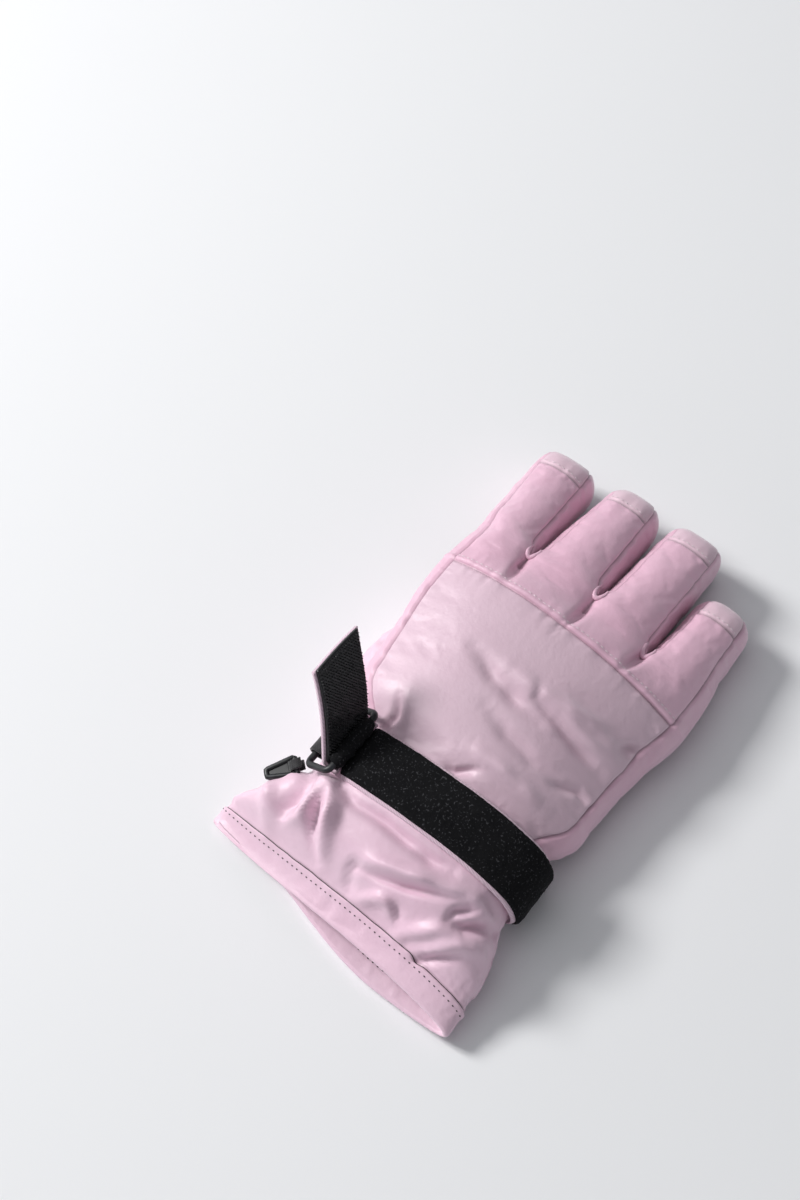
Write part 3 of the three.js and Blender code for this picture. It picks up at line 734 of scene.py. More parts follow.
def wadding_look():
    look = Look("white_wadding", (0.8, 0.8, 0.78), 0.95, 0.5)
    look.colour(look.blend_colour(look.noise(120.0), (0.7, 0.7, 0.68), (0.86, 0.86, 0.84)))
    look.bump(look.noise(260.0, 6.0), 0.5)
    return look.material


def loop_look():
    """Black brushed loops with light flecks: a few light fibres, and painted glints where the fuzz catches
    the light.
    """
    look = Look("loop_tape", (0.004, 0.004, 0.005), 0.95, 0.0)
    look.set(look.shader, {"Specular IOR Level": 0.15})
    # Painted glints: light flecks scattered over the black loops.
    glint_fleck = look.remap(look.noise(1100.0, 2.0), 0.6, 0.7, 0.0, 1.0)
    tone = look.blend_colour(look.noise(90.0), (0.002, 0.002, 0.003), (0.01, 0.01, 0.011))
    look.colour(look.blend_colour(glint_fleck, tone, (0.05, 0.05, 0.055)))
    look.bump(look.noise(1800.0, 5.0), 0.3)
    return look.material


def hook_look():
    """Black nylon hooks with a wet-looking gloss."""
    look = Look("hook_tape", (0.005, 0.005, 0.006), 0.3)
    look.set(look.shader, {"Specular IOR Level": 0.45})
    look.colour(look.blend_colour(look.noise(500.0), (0.003, 0.003, 0.004), (0.012, 0.012, 0.014)))
    look.rough(look.remap(look.noise(800.0), 0.3, 0.7, 0.22, 0.5))
    look.bump(look.noise(1500.0), 0.1)
    return look.material


def tape_look(name, colour, dark):
    """Narrow woven tape."""
    look = Look(name, colour, 0.75, 0.3)
    look.colour(look.blend_colour(look.threads(0.8, "DIAGONAL"), colour, dark))
    look.rough(look.remap(look.noise(400.0), 0.3, 0.7, 0.65, 0.85))
    weave(look, 0.6, 0.09)
    return look.material


def plastic_look():
    look = Look("dark_acetal", (0.01, 0.011, 0.013), 0.35)
    scuff = look.remap(look.noise(220.0, 5.0), 0.55, 0.75, 0.0, 1.0)
    look.colour(look.blend_colour(scuff, (0.008, 0.009, 0.011), (0.025, 0.027, 0.032)))
    look.rough(look.remap(look.noise(150.0), 0.3, 0.7, 0.34, 0.52))
    look.bump(look.noise(1600.0), 0.02)
    return look.material


def thread_look(name, colour):
    look = Look(name, colour, 0.55, 0.2)
    look.colour(look.blend_colour(look.noise(600.0), colour, tuple(0.7 * c for c in colour)))
    look.bump(look.threads(0.5, "DIAGONAL"), 0.05)
    return look.material


PINK, PINK_DEEP = (0.78, 0.56, 0.67), (0.74, 0.46, 0.59)
SHELL = shell_look("pink_shell", PINK, PINK_DEEP, 0.38)
# Painted shade: a darker copy of the pink shell for the back of the hand, which lies less towards the light
# than the cuff.
SHADED_BACK_SHELL = shell_look("pink_back_shell_painted_shade", (0.71, 0.52, 0.61), (0.66, 0.45, 0.55), 0.36)
# Painted shade: a deeper, more saturated copy of the shell for the yoke, side strips and fingers, for the
# shade and bounced pink light between the fingers.
SHADED_FINGER_SHELL = shell_look("pink_finger_shell_painted_shade", (0.76, 0.49, 0.61), (0.71, 0.40, 0.53), 0.38)
CAP_SHELL = shell_look("pink_cap_shell", (0.73, 0.54, 0.62), (0.68, 0.44, 0.55), 0.42)
GRIP = grip_look()
ELASTIC = grip_look()
ELASTIC.name = "gathered_grip_fabric"
LINING = knit_look()
WADDING = wadding_look()
LOOP = loop_look()
HOOK = hook_look()
PLASTIC = plastic_look()
BACKING = tape_look("pink_tape", (0.74, 0.56, 0.65), (0.6, 0.44, 0.53))
WEBBING = tape_look("black_webbing", (0.016, 0.016, 0.018), (0.008, 0.008, 0.009))
THREAD = thread_look("pink_thread", (0.84, 0.7, 0.76))
# Near-black thread for the hem: the stitches are real, and their dark colour is painted shade of the pinholes
# they sit in.
PINHOLE_SHADE_THREAD = thread_look("dark_thread_pinhole_shade", (0.03, 0.015, 0.022))
GREY_THREAD = thread_look("grey_thread", (0.3, 0.3, 0.32))

# ---------- hand and fingers ----------
panels = hand_and_fingers()
edges = []
for name in ("back_panel", "knuckle_yoke", "palm_panel", "wrist_elastic"):
    edges += [(name, np.s_[:, 0]), (name, np.s_[:, -1])]
edges += [("knuckle_yoke", np.s_[0, :]), ("palm_panel", np.s_[0, :])]
for name in FINGERS:
    for part in ("_back", "_palm", "_cap", "_cap.under"):
        edges += [(name + part, np.s_[:, 0]), (name + part, np.s_[:, -1])]
    edges += [(name + "_cap", np.s_[0, :]), (name + "_cap.under", np.s_[0, :])]
held = edges + [("back_panel", np.s_[0, :]), ("wrist_elastic", np.s_[0, :])]
held += [(name, np.s_[0, :]) for name in ("index_side_strip", "little_side_strip")]
glove = Surface(panels, edges, held, 4.0, 0.004)

STRAP_Y = sum(low_high("strap_backing")[i][1] for i in (0, 1)) / 2
STRAP_WIDTH = low_high("strap_backing")[1][1] - low_high("strap_backing")[0][1]
TAPE_WIDTH = low_high("strap_loop_tape")[1][1] - low_high("strap_loop_tape")[0][1]
STRAP_HIGH = low_high("strap_loop_tape")[1]
STRAP_SPREAD = 2.2


def measure_cuff():
    """Centre, half width, top, underside and fold height of the cuff, as functions of y."""
    rows = rows_of("cuff_back", "cuff_palm", "cuff_hem")
    ys = [y for y, _ in rows]
    low = np.array([row.min(axis=0) for _, row in rows])
    high = np.array([row.max(axis=0) for _, row in rows])
    fold = [row[row[:, 0] > row[:, 0].max() - 0.4][:, 2].mean() for _, row in rows]
    return {
        "centre": curve(ys, (low[:, 0] + high[:, 0]) / 2), "half": curve(ys, (high[:, 0] - low[:, 0]) / 2),
        "top": curve(ys, high[:, 2]), "low": curve(ys, low[:, 2]), "fold": curve(ys, fold),
    }


CUFF = measure_cuff()
STRAP_CENTRE = float(CUFF["centre"](STRAP_Y)) + 0.4
STRAP_FOLD = 20.0
STRAP_HALF = STRAP_HIGH[0] - STRAP_CENTRE
STRAP_TOP = STRAP_HIGH[2]
STRAP_LOW = STRAP_FOLD - (STRAP_FOLD - low_high("strap_loop_tape")[0][2]) / 0.805


def cinch(points, room):
    """Draws the fabric in under the strap, so that it lies at least room beneath the strap's face."""
    x = points[:, 0] - STRAP_CENTRE
    z = points[:, 2] - STRAP_FOLD
    high = np.where(z > 0, STRAP_TOP - STRAP_FOLD, STRAP_FOLD - STRAP_LOW) - room
    size = (np.abs(x) / (STRAP_HALF - room)) ** STRAP_SPREAD + (np.abs(z) / high) ** STRAP_SPREAD
    shrink = np.minimum(1, np.maximum(size, 1e-6) ** (-1 / STRAP_SPREAD))
    near = 1 - ease((np.abs(points[:, 1] - STRAP_Y) - STRAP_WIDTH / 2 + 0.5) / 5)
    scale = mix(1, shrink, near)
    return np.stack([STRAP_CENTRE + x * scale, points[:, 1], STRAP_FOLD + z * scale], axis=1)


def seam_relief(surface, depth, pucker, seed):
    """A narrow groove along every seam, and puckers that fade away from it."""
    d = surface.to_seam
    groove = -depth * np.exp(-(d / 0.6) ** 2)
    strength = pucker * np.exp(-d / 3.4) * (1 - np.exp(-(d / 0.9) ** 2))
    folds_in = noise(surface.seam_at, 2.6, seed) + 0.5 * noise(surface.seam_at, 1.3, seed + 1)
    return groove + strength * folds_in


def facing_up(surface):
    return np.clip(surface.normals()[:, 2] * 1.6, 0, 1)


def yoke_folds():
    """Soft valleys that run back from each crotch."""
    return [(-1.7, 2.0, [(slab, ROOT_Y + 3), (slab + lean, KNUCKLE_Y + 2.5)])
            for slab, lean in zip(SLABS, (2.0, 0.5, -2.0))]


up = facing_up(glove)
at = glove.points
relief = seam_relief(glove, 1.0, 0.75, 3)
relief += 1.7 * up * folds(at, (*BACK_FOLDS, *yoke_folds()))
relief += up * 0.8 * np.exp(-((at[:, 1] - KNUCKLE_Y - 1.7) / 0.8) ** 2)
on_fingers = ease((at[:, 1] - ROOT_Y) / 10)
relief += on_fingers * 0.28 * noise(at * [0.8, 1.3, 1], 9.0, 21)
relief += (1 - on_fingers) * 0.2 * noise(at * [0.7, 1.0, 1], 20.0, 22)
relief += 0.02 * noise(at, 2.0, 23)
down = np.clip(-glove.normals()[:, 2] * 1.6, 0, 1)
gather = ease((ELASTIC_Y + 14 - at[:, 1]) / 12)
ribs = np.sin(math.tau * at[:, 0] / 4.2 + 1.5 * noise(at, 9.0, 24))
relief += down * gather * 0.8 * ribs
glove.push(relief)
glove.points = cinch(glove.points, 3.6)
glove.points[:, 2] = np.maximum(glove.points[:, 2], FLOOR_GAP)


def finish_fabric(node):
    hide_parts(node)


def bend_finger(piece):
    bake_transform(piece)


# The back panel, yoke and side strips take the copies of the shell with painted shade.
for name, look, slot_name in (
        ("back_panel", SHADED_BACK_SHELL, "shell"), ("knuckle_yoke", SHADED_FINGER_SHELL, "shell"),
        ("index_side_strip", SHADED_FINGER_SHELL, "shell"), ("little_side_strip", SHADED_FINGER_SHELL, "shell"),
        ("palm_panel", GRIP, "grip"), ("wrist_elastic", ELASTIC, "elastic")):
    piece = cut_out(glove, name, [name], look)
    finish_fabric(name)
    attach(piece, "hand")

# The finger panels take the copy of the shell with painted shade.
for finger in FINGERS:
    for part, look, slot_name in (
            ("_back", SHADED_FINGER_SHELL, "shell"), ("_palm", GRIP, "grip"), ("_cap", CAP_SHELL, "shell"),
            ("_inner_strip", SHADED_FINGER_SHELL, "shell"), ("_outer_strip", SHADED_FINGER_SHELL, "shell")):
        name = finger + part
        piece = cut_out(glove, name, [name, name + ".under"] if part == "_cap" else [name], look)
        finish_fabric(name)
        bend_finger(piece)


def under_layer(surface, name, panel_names, depth, look, end_y=1000.0):
    """A wadding or lining layer as far as end_y: every second point of the panels, moved inwards."""
    inside = surface.points - surface.normals() * depth
    faces = np.vstack([quads(surface.ids[p][::2, ::2], surface.flips[p]) for p in panel_names])
    faces = faces[surface.rest[faces, 1].max(axis=1) < end_y]
    used, compact = np.unique(faces, return_inverse=True)
    piece = add_piece(name, inside[used], clean(compact.reshape(faces.shape)), look)
    finish_fabric(name)
    return piece


HAND_PANELS = ["back_panel", "knuckle_yoke", "index_side_strip", "little_side_strip", "palm_panel",
               "wrist_elastic"]
# The layers inside: name, depth under the shell, look and slot.
LAYERS = (("insulation", 2.4, WADDING, "wadding"), ("lining", 4.6, LINING, "lining"))
for layer, depth, look, slot_name in LAYERS:
    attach(under_layer(glove, "hand_" + layer, HAND_PANELS, depth, look), "hand")
    for finger in FINGERS:
        parts = [finger + p for p in ("_back", "_palm", "_inner_strip", "_outer_strip", "_cap", "_cap.under")]
        end_y = SPEC[FINGERS.index(finger)]["tip"] - 1.3 * depth - 3
        bend_finger(under_layer(glove, finger + "_" + layer, parts, depth, look, end_y))

# ---------- cuff ----------
HEM_SEAM_Y = low_high("cuff_hem")[1][1] + 0.2
HEM_Y = low_high("cuff_hem")[0][1]
CUFF_END_Y = low_high("cuff_back")[1][1]
HEM_ROUND = 1.5
CUFF_COLUMNS = 120
INNER_BAND_ROW = 3        # where the hem ends inside, in rows short of its outer seam
SAG = 22.0
SAG_FROM_Y = -84.0


def superellipse(angle, half, top, low, power):
    """Offsets from the fold for an angle that runs from 0 on the right over 90 degrees on top."""
    c, s = np.cos(angle), np.sin(angle)
    x = half * np.sign(c) * np.abs(c) ** (2 / power)
    z = np.where(s > 0, top, low) * np.abs(s) ** (2 / power)
    return x, z


def cuff_grid(ys, angles):
    y = ys[:, None]
    a = angles[None, :]
    fold = CUFF["fold"](y)
    x, z = superellipse(a, CUFF["half"](y), CUFF["top"](y) - fold, CUFF["low"](y) - fold, 2.1)
    return np.stack([CUFF["centre"](y) + x, y + 0 * a, fold + z], axis=-1)


hem_rows = stations(HEM_Y + HEM_ROUND, HEM_SEAM_Y)
cuff_rows = stations(HEM_SEAM_Y, CUFF_END_Y)
over = np.linspace(np.pi, 0, CUFF_COLUMNS + 1)
below = np.linspace(np.pi, 2 * np.pi, CUFF_COLUMNS + 1)
cuff_panels = {
    "cuff_back": (cuff_grid(cuff_rows, over), False),
    "cuff_palm": (cuff_grid(cuff_rows, below), True),
    "hem_back": (cuff_grid(hem_rows, over), False),
    "hem_palm": (cuff_grid(hem_rows, below), True),
}
cuff_seams = [("cuff_back", np.s_[0, :]), ("cuff_palm", np.s_[0, :]),
              ("cuff_back", np.s_[:, 0]), ("cuff_back", np.s_[:, -1])]
cuff_held = cuff_seams + [("hem_back", np.s_[0, :]), ("hem_palm", np.s_[0, :]),
                          ("cuff_back", np.s_[-1, :]), ("cuff_palm", np.s_[-1, :])]
cuff = Surface(cuff_panels, cuff_seams, cuff_held, 1.2, 0.008)
up = facing_up(cuff)
at = cuff.points
relief = seam_relief(cuff, 0.9, 0.5, 31)
relief += 2.0 * up * folds(at, CUFF_FOLDS)
relief += 0.45 * noise(at * [0.8, 1.0, 1], 18.0, 32) + 0.07 * noise(at, 5.0, 33) + 0.02 * noise(at, 2.0, 34)
cuff.push(relief)
cuff.points = cinch(cuff.points, 3.2)
cuff.points[:, 2] = np.maximum(cuff.points[:, 2], FLOOR_GAP)


def close_mouth(points):
    """The upper layer sags over the mouth, and the lower layer's hem slants forwards on the thumb's side."""
    low = CUFF["low"](points[:, 1])
    share = np.clip((points[:, 2] - low) / (CUFF["top"](points[:, 1]) - low), 0, 1)
    from_left = (points[:, 0] - cad_box[0][0] / MM) / (2 * CUFF["half"](HEM_Y))
    near_mouth = ease((SAG_FROM_Y - points[:, 1]) / (SAG_FROM_Y - HEM_Y))
    sag = SAG * near_mouth * share**1.2 * (1.3 - 0.72 * from_left)
    away = sag[:, None] * np.array([-0.15, 0.40, -0.88])
    slant = 17 * (1 - ease(from_left / 0.75)) * (1 - share) * ease((-90 - points[:, 1]) / 30)
    moved = points + away
    moved[:, 1] += slant
    return moved


cuff.points = close_mouth(cuff.points)
for name in ("cuff_back", "cuff_palm"):
    piece = cut_out(cuff, name, [name], SHELL)
    finish_fabric(name)
    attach(piece, "hand")


def ring_of(surface, upper_name, lower_name, row):
    """Indices of one row right round the cuff, without the repeated corners."""
    return np.concatenate([surface.ids[upper_name][row], surface.ids[lower_name][row][-2:0:-1]])


def inner_ring(ids, depth):
    """A row of the cuff drawn towards the middle of its section, so that it never comes through."""
    ring = cuff.points[ids]
    middle = (ring.max(axis=0) + ring.min(axis=0)) / 2
    half = (ring.max(axis=0) - ring.min(axis=0)) / 2
    scale = np.array([1 - depth / half[0], 1, 1 - depth / half[2]])
    return middle + (ring - middle) * scale


def closed_grid(rings):
    """Faces of a tube from rings of points of equal count."""
    count = len(rings[0])
    ids = np.arange(len(rings) * count).reshape(len(rings), count)
    return np.vstack(rings), quads(np.hstack([ids, ids[:, :1]]), False)


hem_rings = [ring_of(cuff, "hem_back", "hem_palm", row) for row in range(len(hem_rows) - 1, -1, -1)]
rings = [cuff.points[ids] for ids in hem_rings]
for turn in np.linspace(0, np.pi, 9)[1:]:
    rings.append(inner_ring(hem_rings[-1], HEM_ROUND * (1 - np.cos(turn))) - [0, HEM_ROUND * np.sin(turn), 0])
rings += [inner_ring(ids, 2 * HEM_ROUND) for ids in hem_rings[:INNER_BAND_ROW:-1]]
hem_points, hem_faces = closed_grid(rings[::-1])
# Painted shade: rows from either end of the hem piece, so that the shell look darkens its seam with the cuff
# and the edge of its inner band.
hem_painted_shade_distance = np.concatenate([np.full(len(ring), min(i, len(rings) - 1 - i) * 1.0)
                               for i, ring in enumerate(rings[::-1])])
hem = add_piece("cuff_hem", hem_points, clean(hem_faces), SHELL, colour=hem_painted_shade_distance)
finish_fabric("cuff_hem")
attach(hem, "hand")

lining_rings = hem_rings[INNER_BAND_ROW:0:-1]
lining_rings += [ring_of(cuff, "cuff_back", "cuff_palm", row) for row in range(0, len(cuff_rows), 2)]
lining_points, lining_faces = closed_grid(
    [inner_ring(ids, mix(2 * HEM_ROUND + 0.3, 7.5, ease(i / 6))) for i, ids in enumerate(lining_rings)])
piece = add_piece("cuff_lining", lining_points, clean(lining_faces[:, ::-1]), LINING)
finish_fabric("cuff_lining")
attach(piece, "hand")


# ---------- thumb ----------
def thumb_stations():
    """Centres of the thumb's cross-sections: one inside the side of the wrist, and the rows of its lining."""
    points = points_of("thumb_lining")
    points = points[np.argsort(points[:, 1])]
    breaks = np.where(np.diff(points[:, 1]) > 3)[0] + 1
    inside = [TOP["lx"](WRIST_Y) + 4, WRIST_Y + 3, (TOP["lz"](WRIST_Y) + LOW["lz"](WRIST_Y)) / 2]
    return np.array([inside] + [(row.min(axis=0) + row.max(axis=0)) / 2 for row in np.split(points, breaks)])


def thumb_grid(angles, depth, rows):
    """Points of the thumb, rows from its root to its tip; depth is measured inwards."""
    centres = thumb_stations()
    low, high = low_high("thumb_shell")
    lining = low_high("thumb_lining")
    wall = lining[0][0] - low[0]
    root_y, tip_y = centres[0][1], high[1] - depth
    y = root_y + (tip_y - root_y) * rows
    x = curve(centres[:, 1], centres[:, 0])(y)
    z = curve(centres[:, 1], centres[:, 2])(y)
    first_row = points_of("thumb_lining")[:, 1] < centres[1][1] + 3
    root = points_of("thumb_lining")[first_row]
    half = (root[:, 0].max() - root[:, 0].min()) / 2 + wall
    tall = mix((root[:, 2].max() - root[:, 2].min()) / 2 + wall, (high[2] - low[2]) / 2, rows)
    to_tip = np.clip((rows - 0.8) / 0.2, 0, 1)
    round_off = np.sqrt(np.maximum(1 - to_tip**2.3, 0))
    root_in = mix(0.7, 1, ease(rows / 0.25))
    a = angles[None, :]
    c, s = np.cos(a), np.sin(a)
    across = np.sign(c) * np.abs(c) ** (2 / 2.4) * ((half - depth) * round_off * root_in)[:, None]
    raise_by = np.sign(s) * np.abs(s) ** (2 / 2.4) * ((tall - depth) * round_off * root_in)[:, None]
    lean = np.clip(np.gradient(x, y), -0.5, 0.5)[:, None]
    grid = np.stack([x[:, None] + across, y[:, None] - lean * across, z[:, None] + raise_by], axis=-1)
    return grid


THUMB_SHELL_ARC = np.radians([70, 300])
THUMB_PALM_ARC = np.radians([-60, 70])
thumb_rows = np.concatenate([np.linspace(0, 0.8, 61), 0.8 + 0.2 * np.sin(np.linspace(0, np.pi / 2, 15)[1:])])
thumb_panels = {
    "thumb_shell": (thumb_grid(np.linspace(*THUMB_SHELL_ARC, 61), 0, thumb_rows), True),
    "thumb_palm": (thumb_grid(np.linspace(*THUMB_PALM_ARC, 41), 0, thumb_rows), True),
}
thumb_seams = [(name, np.s_[:, end]) for name in thumb_panels for end in (0, -1)]
thumb_held = thumb_seams + [(name, np.s_[0, :]) for name in thumb_panels]
thumb = Surface(thumb_panels, thumb_seams, thumb_held, 3.0, 0.02)
at = thumb.points
relief = seam_relief(thumb, 1.0, 0.5, 41)
relief += 0.7 * noise(at * [1, 1.7, 1], 6.0, 42) + 0.08 * noise(at, 2.0, 43)
thumb.push(relief)
thumb.points[:, 2] = np.maximum(thumb.points[:, 2], FLOOR_GAP)
THUMB_ROOT = thumb_stations()[1]


def bend_thumb(piece):
    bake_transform(piece)


for name, look, slot_name in (("thumb_shell", SHELL, "shell"), ("thumb_palm", GRIP, "grip")):
    piece = cut_out(thumb, name, [name], look)
    finish_fabric(name)
    bend_thumb(piece)
for layer, depth, look, slot_name in LAYERS:
    end_y = low_high("thumb_shell")[1][1] - 1.5 * depth - 4
    bend_thumb(under_layer(thumb, "thumb_" + layer, list(thumb_panels), depth, look, end_y))


# ---------- rods ----------
def tube_points(path, radii, sides, closed):
    """Rings of points round a path, as an array [along][around]."""
    path = np.array(path, float)
    if closed:
        tangents = np.roll(path, -1, axis=0) - np.roll(path, 1, axis=0)
    else:
        tangents = np.gradient(path, axis=0)
    tangents /= np.linalg.norm(tangents, axis=1, keepdims=True)
    normal = np.cross(tangents[0], [0.31, 0.17, 0.93])
    rings = []
    for at_point, way, radius in zip(path, tangents, np.broadcast_to(radii, len(path))):
        normal = normal - way * (normal @ way)
        normal /= np.linalg.norm(normal)
        other = np.cross(way, normal)
        turn = np.linspace(0, math.tau, sides, endpoint=False)
        rings.append(at_point + radius * (np.outer(np.cos(turn), normal) + np.outer(np.sin(turn), other)))
    return np.array(rings)


def tube_mesh(path, radii, sides=12, closed=False):
    """Points and faces of a round rod along a path."""
    rings = tube_points(path, radii, sides, closed)
    count = len(rings)
    ids = np.arange(count * sides).reshape(count, sides)
    wrapped = np.hstack([ids, ids[:, :1]])
    if closed:
        wrapped = np.vstack([wrapped, wrapped[:1]])
    faces = quads(wrapped, True).tolist()
    if not closed:
        faces += [ids[0].tolist(), ids[-1][::-1].tolist()]
    return rings.reshape(-1, 3), faces


def joined(meshes):
    """Points and faces of several meshes as one."""
    points, faces = [], []
    for more_points, more_faces in meshes:
        start = len(points)
        points += [list(p) for p in more_points]
        faces += [[start + i for i in face] for face in more_faces]
    return points, faces


# ---------- tapes ----------
def slab(name, outer, inner, look):
    """A closed piece between two grids of the same size."""
    rows, columns = outer.shape[:2]
    ids = np.arange(rows * columns).reshape(rows, columns)
    under = ids + rows * columns
    faces = [quads(ids, False), quads(under, True)]
    rim = np.concatenate([ids[0], ids[1:, -1], ids[-1, -2::-1], ids[-2:0:-1, 0]])
    rim_under = rim + rows * columns
    faces.append(np.stack([rim, rim_under, np.roll(rim_under, -1), np.roll(rim, -1)], axis=-1))
    points = np.vstack([outer.reshape(-1, 3), inner.reshape(-1, 3)])
    return add_piece(name, points, clean(np.vstack(faces)), look)


def strap_grid(angles, offsets, depth):
    """Points of the strap: rows along it, columns across its width; offsets are from its middle line."""
    x, z = superellipse(angles[:, None], STRAP_HALF - depth, STRAP_TOP - depth - STRAP_FOLD,
                        STRAP_LOW + depth - STRAP_FOLD, STRAP_SPREAD)
    y = STRAP_Y + offsets[None, :] + 0 * x
    grid = np.stack([STRAP_CENTRE + x + 0 * y, y, STRAP_FOLD + z + 0 * y], axis=-1)
    sway = noise(np.stack([x + 0 * y, 0 * y, z + 0 * y], axis=-1), 16.0, 51)
    grid[..., 1] += 0.8 * sway
    return grid


def across_tape(width, count, depth, thickness):
    """Offsets across a tape, and how far its edge is rounded down at each."""
    t = np.linspace(-1, 1, count)
    return t * width / 2, depth + thickness * 0.8 * np.abs(t) ** 14


STRAP_FROM, STRAP_TO = math.radians(-53), math.radians(131)
strap_turn = np.linspace(STRAP_TO, STRAP_FROM, 281)


def strap_layer(name, width, top, bottom, columns, look, fuzz):
    offsets, drop = across_tape(width, columns, top, bottom - top)
    outer = strap_grid(strap_turn, offsets, drop[None, :])
    inner = strap_grid(strap_turn, offsets, np.full((1, columns), bottom))
    radial = outer - strap_grid(strap_turn, offsets, drop[None, :] + 1)
    tufts = noise(outer, 0.8, 52) + 0.5 * noise(outer, 1.6, 53) + noise(outer, 12.0, 54)
    outer = outer + radial * (fuzz * tufts)[..., None]
    outer[..., 1] += fuzz * 0.8 * noise(outer, 1.1, 55)
    return slab(name, outer, inner, look)


piece = strap_layer("strap_loop_tape", TAPE_WIDTH, -0.2, 1.5, 56, LOOP, 0.16)
finish_fabric("strap_loop_tape")
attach(piece, "hand")
piece = strap_layer("strap_backing", STRAP_WIDTH, 1.5, 3.1, 24, BACKING, 0.1)
finish_fabric("strap_backing")
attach(piece, "hand")

BAR = np.array(joint_at("strap_end_turn")) / MM
TAB_SHORT, TAB_LONG = 37.0, 35.0
TAB_LEAN, TAB_BEND = math.radians(-21), math.radians(15)
TAB_SWEEP = 17.0
TAB_REACH = 2.34


def tab_grid(vs, offsets, depth):
    """Round the ring's bar for v from 0 to 1, then the free end, which stands up and leans outwards."""
    v = vs[:, None]
    across = offsets[None, :] / STRAP_WIDTH + 0.5
    start, end = math.radians(-62), -math.pi - TAB_LEAN
    angle = mix(start, end, np.minimum(v, 1))
    rise = np.maximum(v - 1, 0)
    radius = mix(TAB_SHORT, TAB_LONG, across) / TAB_BEND
    turned = angle + TAB_BEND * rise
    curl = 1.2 * np.sin(3.2 * rise + 2.0 * across)
    x = BAR[0] + (TAB_REACH + radius) * np.cos(angle) + (depth - radius) * np.cos(turned) + curl * rise
    z = BAR[2] + (TAB_REACH + radius) * np.sin(angle) + (depth - radius) * np.sin(turned)
    y = BAR[1] + offsets[None, :] + TAB_SWEEP * rise
    return np.stack([x, y + 0 * x, z + 0 * x], axis=-1)


tab_rows = np.concatenate([np.linspace(0, 1, 25), np.linspace(1, 2, 61)[1:]])


def tab_layer(name, width, top, bottom, columns, look, rough):
    offsets, _ = across_tape(width, columns, top, bottom - top)
    face = tab_grid(tab_rows, offsets, top)
    back = tab_grid(tab_rows, offsets, bottom)
    out = face - tab_grid(tab_rows, offsets, top + 1)
    face = face + out * (rough * noise(face, 1.0, 61))[..., None]
    return slab(name, face, back, look)


def hooks(columns, rows):
    """Small bent hooks that stand on the face of the tab."""
    points, faces = [], []
    chance = np.random.default_rng(62)
    for row in range(rows):
        v = 1.02 + 0.96 * (row + 0.5) / rows
        for column in range(columns):
            offset = TAPE_WIDTH * ((column + 0.5) / columns - 0.5) + chance.uniform(-0.12, 0.12)
            base = tab_grid(np.array([v]), np.array([offset]), 0.0)[0, 0]
            inward = base - tab_grid(np.array([v]), np.array([offset]), 1.0)[0, 0]
            along = tab_grid(np.array([v + 0.01]), np.array([offset]), 0.0)[0, 0] - base
            along /= np.linalg.norm(along)
            side = np.cross(along, inward)
            bend = along * chance.uniform(-0.5, 0.5) + side * chance.uniform(-0.4, 0.4)
            tall = chance.uniform(0.75, 1.05)
            start = len(points)
            for height, width, shift in ((-0.1, 0.34, 0), (0.7 * tall, 0.26, 0.3), (tall, 0.1, 1.0)):
                middle = base + inward * height + bend * shift
                points += [middle + side * width, middle + along * width, middle - side * width,
                           middle - along * width]
            for ring in (0, 4):
                faces += [[start + ring + i, start + ring + (i + 1) % 4, start + ring + 4 + (i + 1) % 4,
                           start + ring + 4 + i] for i in range(4)]
            faces.append([start + 8, start + 9, start + 10, start + 11])
    return add_piece("hook_nubs", points, faces, HOOK)


piece = tab_layer("tab_hook_tape", TAPE_WIDTH, 0.0, 1.4, 30, HOOK, 0.15)
finish_fabric("tab_hook_tape")
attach(piece, "strap_end")
piece = tab_layer("tab_backing", STRAP_WIDTH, 1.4, 2.8, 26, BACKING, 0.08)
finish_fabric("tab_backing")
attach(piece, "strap_end")


def strap_fold():
    """The thick dark roll that the strap makes where it turns back over the ring's bar."""
    offsets = np.linspace(-TAPE_WIDTH / 2, TAPE_WIDTH / 2, 61)
    path = [BAR + np.array([0, o, 0]) for o in offsets]
    radii = 3.5 * (1 - 0.75 * (np.abs(offsets) / (TAPE_WIDTH / 2)) ** 10) + 0.25 * np.sin(offsets * 1.1)
    points, faces = tube_mesh(path, radii, 40)
    outward = points - (BAR + np.outer(points[:, 1] - BAR[1], [0, 1, 0]))
    outward /= np.linalg.norm(outward, axis=1, keepdims=True)
    tufts = noise(points, 0.9, 63) + 0.6 * noise(points, 2.4, 64)
    return add_piece("strap_fold", points + outward * (0.2 * tufts)[:, None], faces, LOOP)


piece = strap_fold()
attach(piece, "strap_end")
piece = hooks(20, 28)
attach(piece, "strap_end")


# ---------- ring, clip and their loops ----------
RING_LOW, RING_HIGH = low_high("strap_ring")
ROD = 1.45
RING_LEAN = math.radians(38)
RING_HEIGHT = 14.0
RING_LENGTH = RING_HIGH[1] - RING_LOW[1] - 2 * ROD
LOWER_BAR = BAR - RING_HEIGHT * np.array([math.cos(RING_LEAN), 0, math.sin(RING_LEAN)])


def rounded_rectangle(width, height, corner, steps=6):
    """Points of a rounded rectangle about the origin."""
    points = []
    for quarter in range(4):
        sx = 1 if quarter in (0, 3) else -1
        sy = 1 if quarter < 2 else -1
        for step in range(steps + 1):
            a = math.pi / 2 * (quarter + step / steps)
            points.append((sx * (width / 2 - corner) + corner * math.cos(a),
                           sy * (height / 2 - corner) + corner * math.sin(a)))
    return points


ring_middle = (BAR + LOWER_BAR) / 2
ring_up = (BAR - LOWER_BAR) / RING_HEIGHT
ring_path = [ring_middle + np.array([0, 1, 0]) * a + ring_up * b
             for a, b in rounded_rectangle(RING_LENGTH, RING_HEIGHT, 2.6)]
piece = add_piece("strap_ring", *tube_mesh(ring_path, ROD, 16, closed=True), PLASTIC)
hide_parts("strap_ring")
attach(piece, "ring")


